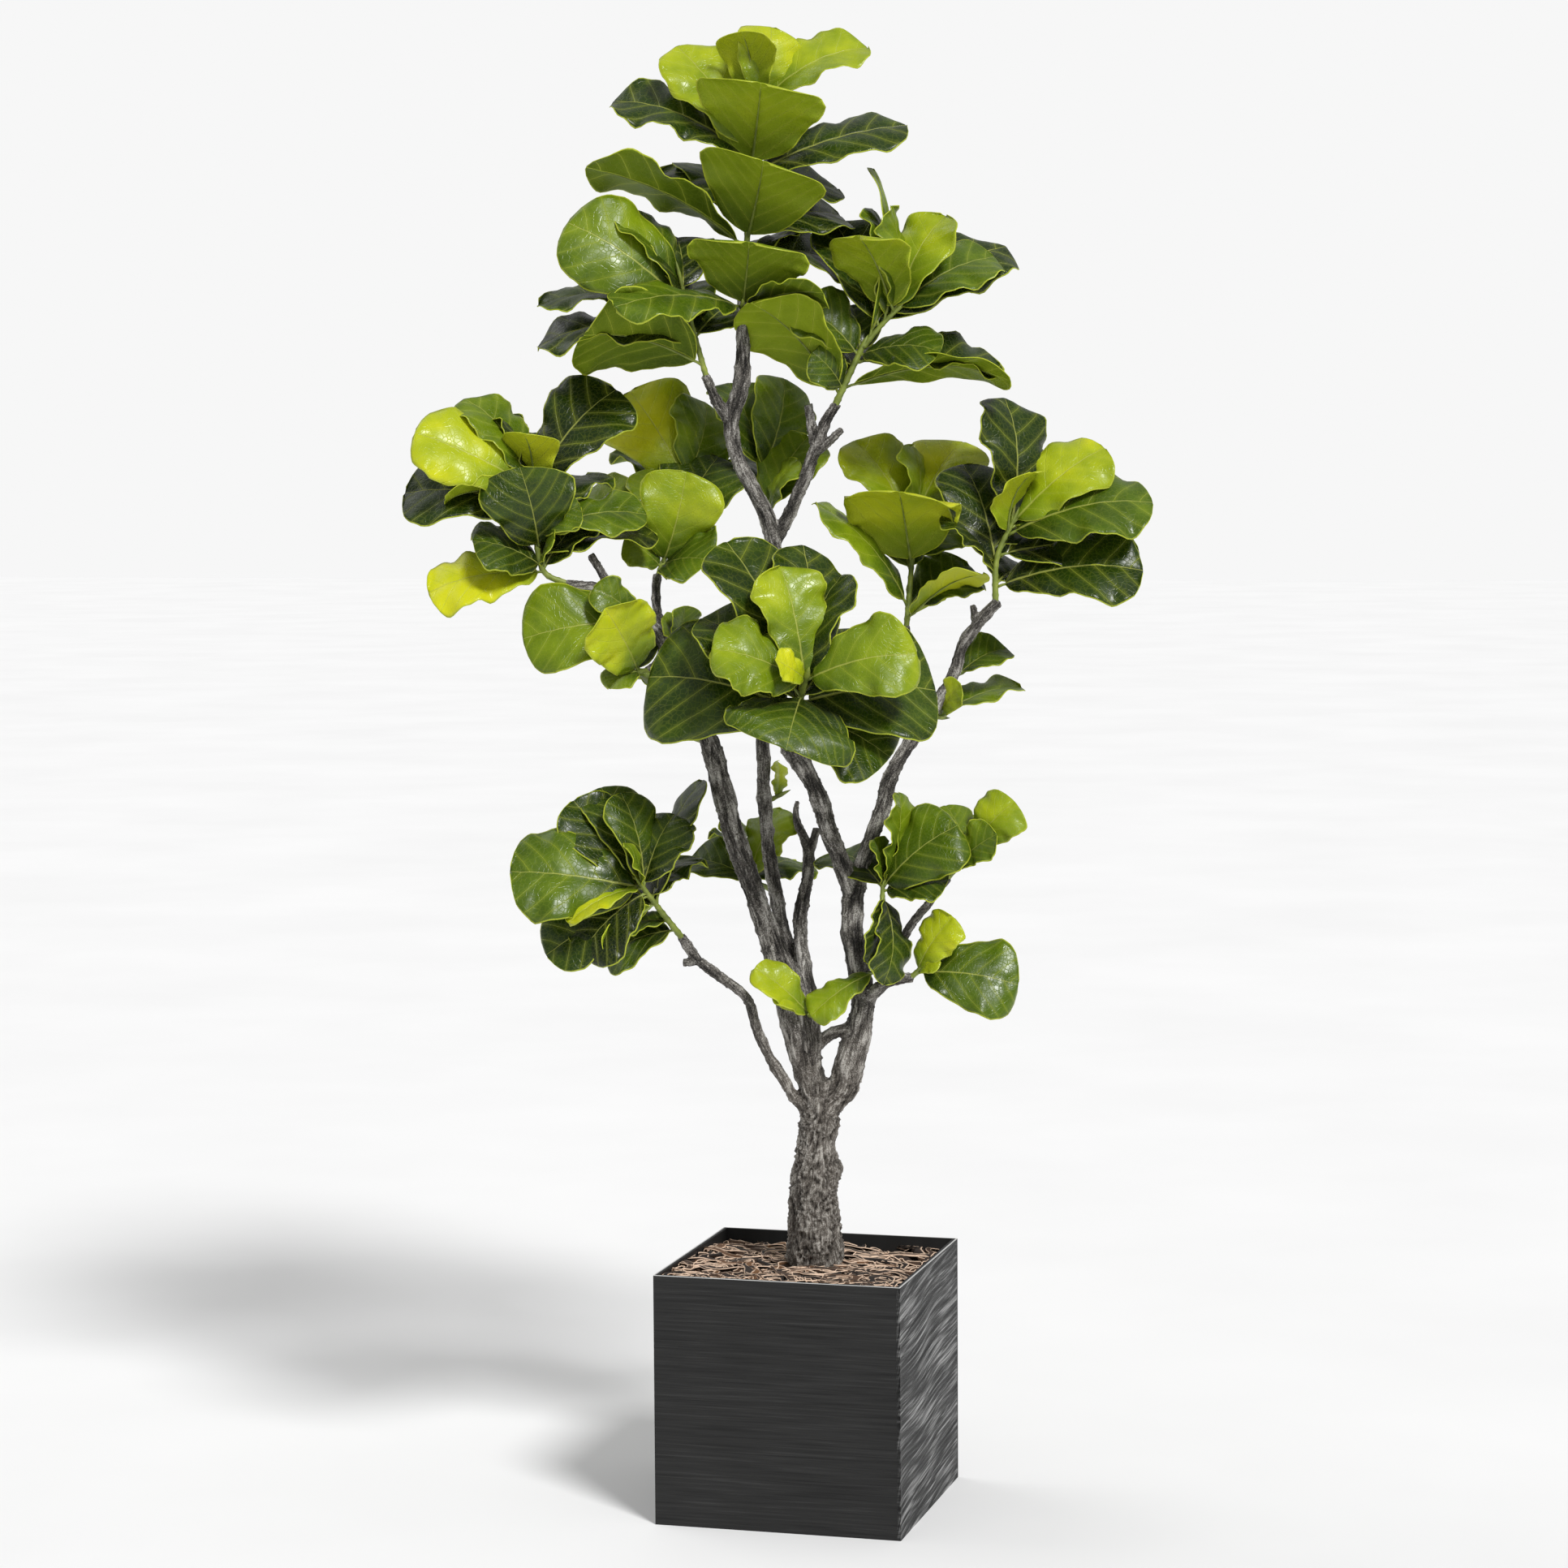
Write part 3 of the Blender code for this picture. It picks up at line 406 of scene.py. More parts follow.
def applied(piece):
    """Applies the piece's modifiers to its mesh."""
    bpy.context.view_layer.update()
    depsgraph = bpy.context.evaluated_depsgraph_get()
    mesh = bpy.data.meshes.new_from_object(piece.evaluated_get(depsgraph))
    piece.modifiers.clear()
    piece.data = mesh
    return piece


def settle_tree(mesh):
    """Takes a mesh from the tree frame, in cm, to its place, in metres."""
    mesh.transform(tree_place @ Matrix.Scale(CM, 4))


def eased_path(points, step):
    """Places and radii along a smooth curve through (x, y, z, radius) points, in cm."""
    knots = [np.array(point, float) for point in points]
    knots = [2 * knots[0] - knots[1], *knots, 2 * knots[-1] - knots[-2]]
    path = []
    for before, start, end, after in zip(knots, knots[1:], knots[2:], knots[3:]):
        count = max(1, round(float(np.linalg.norm(end[:3] - start[:3])) / step))
        for number in range(count):
            t = number / count
            path.append(0.5 * (
                2 * start + (end - before) * t
                + (2 * before - 5 * start + 4 * end - after) * t ** 2
                + (3 * start - before - 3 * end + after) * t ** 3))
    path.append(knots[-2])
    return [(Vector(spot[:3]), max(float(spot[3]), 0.02)) for spot in path]


def frames_along(path):
    """The turn of each ring of a swept path, carried along without twisting."""
    turns = []
    for number in range(len(path)):
        ahead = path[min(number + 1, len(path) - 1)][0] - path[max(number - 1, 0)][0]
        if not turns:
            turns.append(ahead.to_track_quat("Z", "Y"))
        else:
            axis = turns[-1] @ Vector((0, 0, 1))
            turns.append(axis.rotation_difference(ahead) @ turns[-1])
    return turns


def sweep(bm, path, sides):
    """Rolls a grid into a closed tube along a path of (place, radius)."""
    rows = len(path) - 1
    made = bmesh.ops.create_grid(bm, x_segments=sides, y_segments=rows, size=0.5)["verts"]
    turns = frames_along(path)
    for vertex in made:
        angle = (vertex.co.x + 0.5) * 2 * math.pi
        number = round((vertex.co.y + 0.5) * rows)
        place, radius = path[number]
        around = Vector((math.cos(angle), math.sin(angle), 0)) * radius
        vertex.co = place + turns[number] @ around
    bmesh.ops.remove_doubles(bm, verts=made, dist=0.0005)
    ends = [edge for edge in bm.edges if edge.is_boundary]
    bmesh.ops.holes_fill(bm, edges=ends, sides=0)


# ---------------------------------------------------------------- node materials

class Finish:
    """A Principled material with short ways to add its nodes."""

    def __init__(self, name, roughness=0.5, **uniform):
        self.material = bpy.data.materials.new(name)
        self.material.use_nodes = True
        self.tree = self.material.node_tree
        self.shader = self.tree.nodes["Principled BSDF"]
        self.shader.inputs["Roughness"].default_value = roughness
        for label, value in uniform.items():
            self.shader.inputs[label.replace("_", " ")].default_value = value

    def put(self, socket, value):
        if isinstance(value, bpy.types.NodeSocket):
            self.tree.links.new(value, socket)
        elif value is not None:
            socket.default_value = value

    def node(self, kind, **settings):
        made = self.tree.nodes.new("ShaderNode" + kind)
        for label, value in settings.items():
            setattr(made, label, value)
        return made

    def math(self, operation, first, second=None, third=None):
        made = self.node("Math", operation=operation)
        for socket, value in zip(made.inputs, (first, second, third)):
            self.put(socket, value)
        return made.outputs[0]

    def attribute(self, name, output="Fac"):
        return self.node("Attribute", attribute_name=name).outputs[output]

    def place(self, scale=(1, 1, 1), source=None):
        mapping = self.node("Mapping")
        if source is None:
            source = self.node("TexCoord").outputs["Object"]
        self.put(mapping.inputs["Vector"], source)
        mapping.inputs["Scale"].default_value = scale
        return mapping.outputs[0]

    def noise(self, where, scale, detail=4.0, roughness=0.55, distortion=0.0):
        made = self.node("TexNoise")
        self.put(made.inputs["Vector"], where)
        for label, value in (("Scale", scale), ("Detail", detail), ("Roughness", roughness),
                             ("Distortion", distortion)):
            made.inputs[label].default_value = value
        return made.outputs["Fac"]

    def cells(self, where, scale, feature="F1", output="Distance"):
        made = self.node("TexVoronoi", feature=feature)
        self.put(made.inputs["Vector"], where)
        made.inputs["Scale"].default_value = scale
        return made.outputs[output]

    def ramp(self, value, *stops):
        """A colour or grey ramp: each stop is (place, colour or grey)."""
        made = self.node("ValToRGB")
        self.put(made.inputs[0], value)
        steps = made.color_ramp.elements
        while len(steps) < len(stops):
            steps.new(0.5)
        for step, (place, colour) in zip(steps, stops):
            step.position = place
            step.color = (*colour, 1) if isinstance(colour, tuple) else (colour,) * 3 + (1,)
        return made.outputs[0]

    def step(self, value, low, high, start=0.0, end=1.0):
        """Runs smoothly from start to end as value goes from low to high."""
        made = self.node("MapRange", interpolation_type="SMOOTHSTEP")
        for socket, number in zip(made.inputs, (value, low, high, start, end)):
            self.put(socket, number)
        return made.outputs[0]

    def blend(self, share, first, second, kind="MIX"):
        made = self.node("Mix", data_type="RGBA", blend_type=kind)
        self.put(made.inputs["Factor"], share)
        for label, value in (("A", first), ("B", second)):
            socket = [s for s in made.inputs if s.name == label and s.type == "RGBA"][0]
            self.put(socket, (*value, 1) if isinstance(value, tuple) else value)
        return [s for s in made.outputs if s.type == "RGBA"][0]

    def bump(self, height, distance, strength=1.0, under=None):
        made = self.node("Bump")
        made.inputs["Strength"].default_value = strength
        made.inputs["Distance"].default_value = distance
        self.put(made.inputs["Height"], height)
        self.put(made.inputs["Normal"], under)
        return made.outputs[0]

    def wear(self, colour=None, roughness=None, normal=None):
        self.put(self.shader.inputs["Base Color"], colour)
        self.put(self.shader.inputs["Roughness"], roughness)
        self.put(self.shader.inputs["Normal"], normal)
        return self.material


def leaf_veins(finish):
    """Masks read off a leaf's plan: midrib, side veins, fine net, margin line, and a painted shade
    that darkens the blade toward its base.
    """
    plan = finish.node("UVMap", uv_map="leaf_plan").outputs[0]
    axes = finish.node("SeparateXYZ")
    finish.put(axes.inputs[0], plan)
    along = axes.outputs["Y"]
    aside = finish.math("SUBTRACT", axes.outputs["X"], 0.5)
    out = finish.math("ABSOLUTE", aside)
    bent = finish.math("MULTIPLY_ADD", out, VEIN_BEND, VEIN_SLANT)
    raked = finish.math("SUBTRACT", along, finish.math("MULTIPLY", out, bent))
    shift = finish.math("MULTIPLY", finish.math("GREATER_THAN", aside, 0.0), VEIN_STAGGER)
    order = finish.math("ADD", finish.math("MULTIPLY", raked, VEIN_PAIRS), shift)
    gap = finish.math("DIVIDE", finish.math("PINGPONG", order, 0.5), VEIN_PAIRS)
    side_vein = finish.step(gap, 0.0015, 0.0060, 1.0, 0.0)
    side_glow = finish.step(gap, 0.0, 0.045, 1.0, 0.0)
    rib_width = finish.math("MULTIPLY_ADD", along, -0.013, 0.018)
    rib = finish.step(finish.math("DIVIDE", out, rib_width), 0.35, 0.75, 1.0, 0.0)
    net_place = finish.place((1, 1, 1), plan)
    net = finish.step(finish.cells(net_place, 26, "DISTANCE_TO_EDGE"), 0.0, 0.09, 1.0, 0.0)
    margin = finish.step(finish.attribute("margin"), 0.10, 0.24, 1.0, 0.0)
    # Painted shade: the blade darkens toward its base, standing in for the shade deep inside each
    # cluster of leaves.
    painted_base_shade = finish.step(along, 0.0, 0.60, 1.0, 0.0)
    return rib, side_vein, side_glow, net, margin, painted_base_shade


def leaf_upper():
    finish = Finish("fig_leaf_upper", Specular_IOR_Level=0.28)
    rib, side_vein, side_glow, net, margin, painted_base_shade = leaf_veins(finish)
    where = finish.place()
    tone = finish.attribute("tone")
    drift = finish.noise(where, 13, 3)
    # The drift noise makes patches lighter and darker across the blade: partly the leaf's own
    # uneven tone, partly painted light and shade standing in for light falling across its fold.
    shade = finish.math("ADD", tone, finish.math("MULTIPLY_ADD", drift, 0.60, -0.30))
    # Painted shade: the upper face darkens toward the leaf's base, as if shaded inside the cluster.
    shade = finish.math("SUBTRACT", shade, finish.math("MULTIPLY", painted_base_shade, 0.26))
    base = finish.ramp(
        shade, (0.0, (0.006, 0.014, 0.001)), (0.25, (0.018, 0.038, 0.002)),
        (0.5, (0.070, 0.120, 0.004)), (0.72, (0.195, 0.270, 0.006)),
        (0.88, (0.380, 0.440, 0.008)), (1.0, (0.560, 0.570, 0.010)))
    pale = finish.blend(0.55, base, (0.55, 0.62, 0.06))
    base = finish.blend(finish.math("MULTIPLY", side_glow, 0.14), base, pale)
    base = finish.blend(finish.math("MULTIPLY", net, 0.10), base, pale)
    base = finish.blend(finish.math("MULTIPLY", side_vein, 0.38), base, pale)
    rib_tint = finish.blend(0.52, base, (0.44, 0.46, 0.10))
    base = finish.blend(rib, base, rib_tint)
    base = finish.blend(finish.math("MULTIPLY", margin, 0.85), base, (0.42, 0.48, 0.04))
    ribs = finish.math("MAXIMUM", rib, finish.math("MULTIPLY", side_vein, 0.7))
    height = finish.math("SUBTRACT", finish.math("MULTIPLY", net, -0.25), ribs)
    smudge = finish.noise(where, 45, 4)
    rough = finish.step(smudge, 0.3, 0.75, 0.22, 0.42)
    return finish.wear(base, rough, finish.bump(height, 0.0008, 0.7))


def leaf_underside():
    finish = Finish("fig_leaf_underside", Specular_IOR_Level=0.18)
    rib, side_vein, side_glow, net, margin, painted_base_shade = leaf_veins(finish)
    where = finish.place()
    tone = finish.attribute("tone")
    drift = finish.noise(where, 12, 3)
    # The drift noise makes patches lighter and darker across the underside: partly its own uneven
    # tone, partly painted light and shade standing in for light falling across the fold.
    shade = finish.math("ADD", tone, finish.math("MULTIPLY_ADD", drift, 0.5, -0.25))
    # Painted shade: the underside darkens toward the leaf's base, as if shaded inside the cluster.
    shade = finish.math("SUBTRACT", shade, finish.math("MULTIPLY", painted_base_shade, 0.30))
    base = finish.ramp(
        shade, (0.0, (0.020, 0.040, 0.002)), (0.4, (0.100, 0.155, 0.005)),
        (0.75, (0.250, 0.330, 0.008)), (1.0, (0.480, 0.520, 0.012)))
    pale = finish.blend(0.6, base, (0.55, 0.62, 0.07))
    base = finish.blend(finish.math("MULTIPLY", side_glow, 0.15), base, pale)
    base = finish.blend(finish.math("MULTIPLY", net, 0.10), base, pale)
    base = finish.blend(finish.math("MULTIPLY", side_vein, 0.75), base, pale)
    base = finish.blend(rib, base, (0.42, 0.50, 0.05))
    base = finish.blend(finish.math("MULTIPLY", margin, 0.85), base, (0.48, 0.54, 0.04))
    ribs = finish.math("MAXIMUM", rib, side_vein)
    height = finish.math("ADD", finish.math("MULTIPLY", net, 0.35), ribs)
    return finish.wear(base, finish.step(drift, 0.3, 0.7, 0.48, 0.62),
                       finish.bump(height, 0.0009, 0.8))


def green_stem():
    finish = Finish("fig_green_stem")
    where = finish.place()
    patches = finish.noise(where, 60, 5)
    base = finish.ramp(patches, (0.3, (0.10, 0.13, 0.022)), (0.55, (0.20, 0.25, 0.035)),
                       (0.8, (0.32, 0.36, 0.06)))
    grain = finish.noise(finish.place((1, 1, 0.15)), 500, 3)
    return finish.wear(base, 0.5, finish.bump(grain, 0.0004, 0.6))


def fig_bark():
    finish = Finish("fig_bark", Specular_IOR_Level=0.3)
    limb = finish.attribute("limb_place", "Vector")
    where = finish.place()
    age = finish.attribute("age")
    ridge = finish.attribute("ridge")
    streaks = finish.noise(finish.place((1, 1, 0.16), limb), 300, 6, 0.7, 0.6)
    blotches = finish.noise(where, 30, 5, 0.6)
    grit = finish.noise(where, 650, 4, 0.75)
    light = finish.math("MULTIPLY", ridge, 0.85)
    light = finish.math("ADD", light, finish.math("MULTIPLY_ADD", streaks, 1.15, -0.57))
    light = finish.math("ADD", light, finish.math("MULTIPLY_ADD", blotches, 0.3, -0.15))
    light = finish.math("ADD", light, finish.math("MULTIPLY_ADD", grit, 1.1, -0.55))
    old = finish.ramp(light, (0.18, (0.020, 0.016, 0.013)), (0.34, (0.080, 0.069, 0.057)),
                      (0.50, (0.170, 0.150, 0.128)), (0.74, (0.560, 0.530, 0.480)))
    young = finish.ramp(light, (0.22, (0.008, 0.007, 0.006)), (0.40, (0.065, 0.059, 0.052)),
                        (0.55, (0.200, 0.184, 0.164)), (0.76, (0.640, 0.615, 0.570)))
    base = finish.blend(finish.step(age, 0.1, 0.6), young, old)
    height = finish.math("ADD", finish.math("MULTIPLY", streaks, 0.9),
                         finish.math("MULTIPLY", grit, 0.5))
    return finish.wear(base, finish.step(light, 0.3, 0.8, 0.75, 0.5),
                       finish.bump(height, 0.0036, 1.0))


def planter_composite():
    finish = Finish("charcoal_composite", Specular_IOR_Level=0.2)
    wall = finish.node("UVMap", uv_map="wall_plan").outputs[0]
    swirl = finish.attribute("swirl")
    warp = finish.noise(finish.place((5, 7, 1), wall), 1.0, 0)
    bend = finish.math("MULTIPLY", finish.math("SUBTRACT", warp, 0.5), swirl)
    bend = finish.math("MULTIPLY", bend, 0.028)
    axes = finish.node("SeparateXYZ")
    finish.put(axes.inputs[0], wall)
    slope = finish.math("MULTIPLY", finish.math("MULTIPLY", axes.outputs["X"], swirl), -0.09)
    across = finish.math("ADD", finish.math("ADD", axes.outputs["Y"], slope), bend)
    joined = finish.node("CombineXYZ")
    finish.put(joined.inputs["X"], axes.outputs["X"])
    finish.put(joined.inputs["Y"], across)
    fine = finish.noise(finish.place((7, 620, 1), joined.outputs[0]), 1.0, 5, 0.7, 0.2)
    broad = finish.noise(finish.place((4, 230, 1), joined.outputs[0]), 1.0, 4, 0.6, 0.2)
    grain = finish.math("ADD", finish.math("MULTIPLY", fine, 0.6),
                        finish.math("MULTIPLY", broad, 0.4))
    ridge = finish.attribute("ridge")
    light = finish.math("ADD", finish.math("MULTIPLY_ADD", grain, 1.2, -0.24),
                        finish.math("MULTIPLY", ridge, 0.3))
    # The front and back walls take the dark smooth ramp and the side walls (swirl) the much lighter
    # rough ramp. This is partly the sides' coarser grain and partly painted light: the sides are
    # painted lighter, as a sunlit side looks.
    smooth = finish.ramp(light, (0.36, (0.011, 0.011, 0.011)), (0.50, (0.0180, 0.0180, 0.0177)),
                         (0.60, (0.0215, 0.0215, 0.0211)), (0.78, (0.040, 0.040, 0.0394)))
    rough = finish.ramp(light, (0.47, (0.001, 0.001, 0.001)), (0.53, (0.018, 0.018, 0.0177)),
                        (0.58, (0.085, 0.085, 0.084)), (0.70, (0.330, 0.330, 0.326)))
    base = finish.blend(swirl, smooth, rough)
    # Painted highlight: a pale band along the rim's top edge.
    rim = finish.step(finish.attribute("rim"), 0.60, 0.72)
    base = finish.blend(rim, base, (0.62, 0.62, 0.61))
    return finish.wear(base, finish.step(grain, 0.3, 0.7, 0.42, 0.62),
                       finish.bump(grain, 0.0016, 0.9))


def shredded_bark():
    finish = Finish("shredded_bark")
    shade = finish.attribute("shade")
    edge = finish.attribute("edge")
    plan = finish.node("UVMap", uv_map="shred_plan").outputs[0]
    fibre = finish.noise(finish.place((60, 3, 1), plan), 1.0, 5, 0.7)
    mottle = finish.noise(finish.place(), 130, 4)
    tone = finish.math("ADD", shade, finish.math("MULTIPLY_ADD", fibre, 0.5, -0.25))
    tone = finish.math("ADD", tone, finish.math("MULTIPLY_ADD", mottle, 0.3, -0.15))
    base = finish.ramp(tone, (0.05, (0.006, 0.003, 0.002)), (0.28, (0.026, 0.013, 0.007)),
                       (0.52, (0.090, 0.043, 0.020)), (0.75, (0.300, 0.133, 0.043)),
                       (1.0, (0.800, 0.500, 0.250)))
    # Painted highlight: the long edges of each shred are painted pale.
    edge_highlight = finish.math("MULTIPLY", finish.step(edge, 0.70, 0.98), 0.85)
    base = finish.blend(edge_highlight, base, (0.95, 0.70, 0.52))
    return finish.wear(base, 0.78, finish.bump(fibre, 0.0010, 0.9))


def mulch_bed():
    finish = Finish("mulch_bed")
    where = finish.place()
    crumbs = finish.cells(where, 160)
    mottle = finish.noise(where, 70, 6, 0.7)
    # The bed is very dark: partly the mulch's own colour, partly painted shade standing for the
    # shadow in the gaps between the loose shreds.
    base = finish.ramp(mottle, (0.3, (0.006, 0.003, 0.002)), (0.55, (0.030, 0.015, 0.007)),
                       (0.8, (0.110, 0.050, 0.018)))
    height = finish.math("ADD", crumbs, mottle)
    return finish.wear(base, 0.9, finish.bump(height, 0.003, 1.0))


def potting_soil():
    finish = Finish("potting_soil")
    where = finish.place()
    grains = finish.noise(where, 240, 6, 0.7)
    base = finish.ramp(grains, (0.3, (0.010, 0.007, 0.005)), (0.6, (0.035, 0.024, 0.016)),
                       (0.85, (0.110, 0.080, 0.055)))
    return finish.wear(base, 0.95, finish.bump(grains, 0.002, 1.0))


# ---------------------------------------------------------------- leaves

def leaf_frame(way, turn):
    """The leaf's own axes: along the midrib, out of the upper face, and across."""
    along = way.normalized()
    front = Vector((0, -1, 0))
    front = (front - along * front.dot(along)).normalized()
    side = along.cross(front)
    if side.dot(Vector((0.3, 0, 1))) < 0:
        side.negate()
    upper = front * math.cos(math.radians(turn)) + side * math.sin(math.radians(turn))
    return along, upper, along.cross(upper)


def outline_share(spot, waist):
    """Half width at a place along the blade, between an egg and a fiddle outline."""
    egg = np.interp(spot, *zip(*EGG_OUTLINE))
    fiddle = np.interp(spot, *zip(*FIDDLE_OUTLINE))
    return float(egg + (fiddle - egg) * waist)


def vein_swell(share, out, side):
    """The quilting between the side veins: 0 on a vein, 1 midway."""
    raked = share - out * (VEIN_SLANT + VEIN_BEND * out)
    order = raked * VEIN_PAIRS + (VEIN_STAGGER if side > 0 else 0)
    return math.sin(math.pi * (order % 1.0))


class Leaf:
    """One leaf: its frame and the habits that make it differ from its neighbours."""

    def __init__(self, foot, row, rng):
        _, x, y, z, width, turn = row
        way = Vector((x, y, z))
        self.foot, self.length, self.half = foot, way.length, width / 2 * LEAF_SPREAD
        self.along, self.upper, self.across = leaf_frame(way, turn)
        size = min(1.0, self.length / 15)
        self.waist = rng.uniform(0.15, 1.0)
        self.arch = LEAF_ARCH * rng.uniform(0.7, 1.3)
        self.fold = LEAF_FOLD * rng.uniform(0.4, 1.1)
        self.roll = rng.uniform(0.0, 0.30)
        self.wave = rng.uniform(0.35, 0.95) * size
        self.waves = rng.uniform(1.4, 2.9)
        self.phases = (rng.uniform(0, 6.3), rng.uniform(0, 6.3))
        self.twist = math.radians(rng.gauss(0, 9))
        self.nod = rng.uniform(-0.02, 0.07) * self.length
        self.quilt = 0.13 * size

    def centre(self, share):
        """The midrib at a share of the leaf's length."""
        rise = self.arch * self.length * 4 * share * (1 - share)
        rise -= self.nod * max(0.0, share - 0.55) ** 2 * 5
        return self.foot + self.along * (share * self.length) + self.upper * rise

    def place(self, blade, side):
        """A point of the blade: how far along it, and from -1 to 1 across it."""
        share = STALK_SHARE + (1 - STALK_SHARE) * blade
        half = self.half * outline_share(blade, self.waist)
        x = side * half
        turn = self.twist * blade
        across = self.across * math.cos(turn) + self.upper * math.sin(turn)
        upper = self.upper * math.cos(turn) - self.across * math.sin(turn)
        edge = abs(side)
        phase = self.phases[0] if side > 0 else self.phases[1]
        ripple = math.sin(2 * math.pi * self.waves * blade + phase)
        ripple += 0.4 * math.sin(2 * math.pi * 2.3 * self.waves * blade + 1.7 * phase)
        rise = self.fold * edge * half - self.roll * edge ** 2 * half
        rise += self.wave * ripple * edge ** 2.2 * min(1.0, 3 * blade)
        rise += self.quilt * vein_swell(blade, abs(x) / self.length, side) * (1 - edge ** 3)
        rise -= 0.10 * max(0.0, 1 - abs(x) / 0.5)
        return self.centre(share) + across * x + upper * rise, half


def add_leaf(sheets, leaf, tone):
    """Adds one leaf's blade to the sheets: a grid laid to its outline."""
    bm = bmesh.new()
    bmesh.ops.create_grid(bm, x_segments=LEAF_ACROSS, y_segments=LEAF_ALONG, size=0.5)
    tones = bm.verts.layers.float.new("tone")
    margins = bm.verts.layers.float.new("margin")
    plan = bm.loops.layers.uv.new("leaf_plan")
    spots = {}
    for vertex in bm.verts:
        side = 2 * vertex.co.x
        row = vertex.co.y + 0.5
        blade = row + LEAF_TIP_CROWD * math.sin(math.pi * row) * row
        blade = min(blade, 0.999)
        place, half = leaf.place(blade, side)
        to_tip = (1 - blade) * leaf.length
        vertex[tones] = tone
        vertex[margins] = min((1 - abs(side)) * half, to_tip + (1 - abs(side)) * 0.3)
        spots[vertex] = (0.5 + side * half / leaf.length, blade)
        vertex.co = place
    for face in bm.faces:
        for loop in face.loops:
            loop[plan].uv = spots[loop.vert]
    mesh = to_mesh(bm, "leaf")
    sheets.from_mesh(mesh)
    bpy.data.meshes.remove(mesh)


def add_stalk(stems, leaf):
    """Adds the leaf's stalk, which runs on under the blade as its midrib."""
    path = []
    for number in range(STALK_RINGS + 1):
        share = 0.93 * number / STALK_RINGS
        radius = 0.27 - 0.05 * share / STALK_SHARE if share < STALK_SHARE else 0.22
        if share > STALK_SHARE:
            radius = 0.20 * (1 - share) / (1 - STALK_SHARE) + 0.03
        sunk = radius * 0.75 + 0.10 if share > STALK_SHARE else 0.05
        path.append((leaf.centre(share) - leaf.upper * sunk, radius * STALK_GIRTH))
    bm = bmesh.new()
    sweep(bm, path, 6)
    mesh = to_mesh(bm, "stalk")
    stems.from_mesh(mesh)
    bpy.data.meshes.remove(mesh)


def point_up(axis, distance):
    """The point that lies this far up a shoot's axis, in cm."""
    for start, end in zip(axis, axis[1:]):
        start, end = Vector(start[:3]), Vector(end[:3])
        stretch = (end - start).length
        if distance <= stretch:
            return start.lerp(end, distance / stretch)
        distance -= stretch
    return end


def add_shoot_stem(stems, axis):
    """Adds the shoot's own stem, ringed by leaf scars and ending in a bud."""
    path = []
    for number, (place, radius) in enumerate(eased_path(axis, 0.35)):
        ring = 1.0 + (0.16 if number % 4 == 0 else 0.0)
        path.append((place, radius * ring))
    tip, radius = path[-1]
    ahead = (tip - path[-2][0]).normalized()
    path += [(tip + ahead * 0.6, radius * 1.1), (tip + ahead * 1.5, radius * 0.7),
             (tip + ahead * 2.3, 0.04)]
    bm = bmesh.new()
    sweep(bm, path, 10)
    mesh = to_mesh(bm, "stem")
    stems.from_mesh(mesh)
    bpy.data.meshes.remove(mesh)


def grow_foliage(number, node, axis, rows, tones, finishes):
    """All leaves of one shoot as one piece, and its stem and stalks as another."""
    upper, underside, stem = finishes
    rng = random.Random(100 + number)
    sheets, stems = bmesh.new(), bmesh.new()
    add_shoot_stem(stems, axis)
    for row, tone in zip(rows, tones):
        leaf = Leaf(point_up(axis, row[0]), row, rng)
        shade = min(1.0, max(0.0, 0.04 + tone * 0.102 + rng.uniform(-0.03, 0.03)))
        add_leaf(sheets, leaf, shade)
        add_stalk(stems, leaf)
    label = node.replace("_shoot", "").replace("_leaf", "")
    leaves = new_piece(label + "_leaves", to_mesh(sheets, label + "_leaves"), upper, underside)
    settle_tree(leaves.data)
    skin = leaves.modifiers.new("thickness", "SOLIDIFY")
    skin.thickness = LEAF_SKIN
    skin.offset = -1.0
    skin.material_offset = 1
    skin.material_offset_rim = 1
    stand_for(leaves, "fig_leaf", node)
    twigs = new_piece(label + "_stalks", to_mesh(stems, label + "_stalks"), stem)
    settle_tree(twigs.data)
    stand_for(twigs, "fig_leaf")


# ---------------------------------------------------------------- trunk and branches

def limb_samples():
    """Points along every limb: place, radius, direction, distance along it, limb number."""
    samples = []
    for number, points in enumerate(BRANCHES.values()):
        path = eased_path(points, 0.5)
        run = 0.0
        turns = frames_along(path)
        for index, (place, radius) in enumerate(path):
            if index:
                run += (place - path[index - 1][0]).length
            samples.append((place, radius, turns[index], run, number))
    return samples


def bark_relief(spot, run, radius, number, height):
    """How far the bark stands out, in cm, and how pale it is, at a place on a limb."""
    old = max(0.0, min(1.0, (66 - height) / 14))
    stout = min(1.0, radius)
    grain = Vector((spot.x * 2.4, spot.y * 2.4, run * 0.20 + 7 * number))
    crest = 1 - 2.4 * abs(noise.noise(grain))
    flakes = noise.noise(grain * 2.6) * 0.11
    beat = 2.7 + 1.1 * noise.noise(Vector((run * 0.08, number, 3)))
    ring = math.exp(-((run / beat % 1.0 - 0.5) / 0.09) ** 2) * 0.12 * stout
    knots = noise.noise(Vector((spot.x * 0.8, spot.y * 0.8, run * 0.30 + 11 * number))) * 0.34
    young = crest * 0.11 + flakes + ring + knots * stout
    wart = Vector((spot.x * 0.62, spot.y * 0.62, run * 0.50))
    swirl = wart + noise.noise_vector(wart * 0.7) * 1.5
    loops = 1 - 3.2 * abs(noise.noise(swirl * 1.7))
    fine = 1 - 3.0 * abs(noise.noise(swirl * 3.9))
    bulge = noise.noise(wart * 0.55 + Vector((4, 1, 2)))
    warts = max(-0.7, loops) * 0.30 + max(-0.6, fine) * 0.15 - 0.12
    relief = young * (1 - 0.8 * old) + (warts + bulge * 0.8) * old
    return relief, 0.5 + (young - ring) * (1 - 0.8 * old) + warts * 0.75 * old


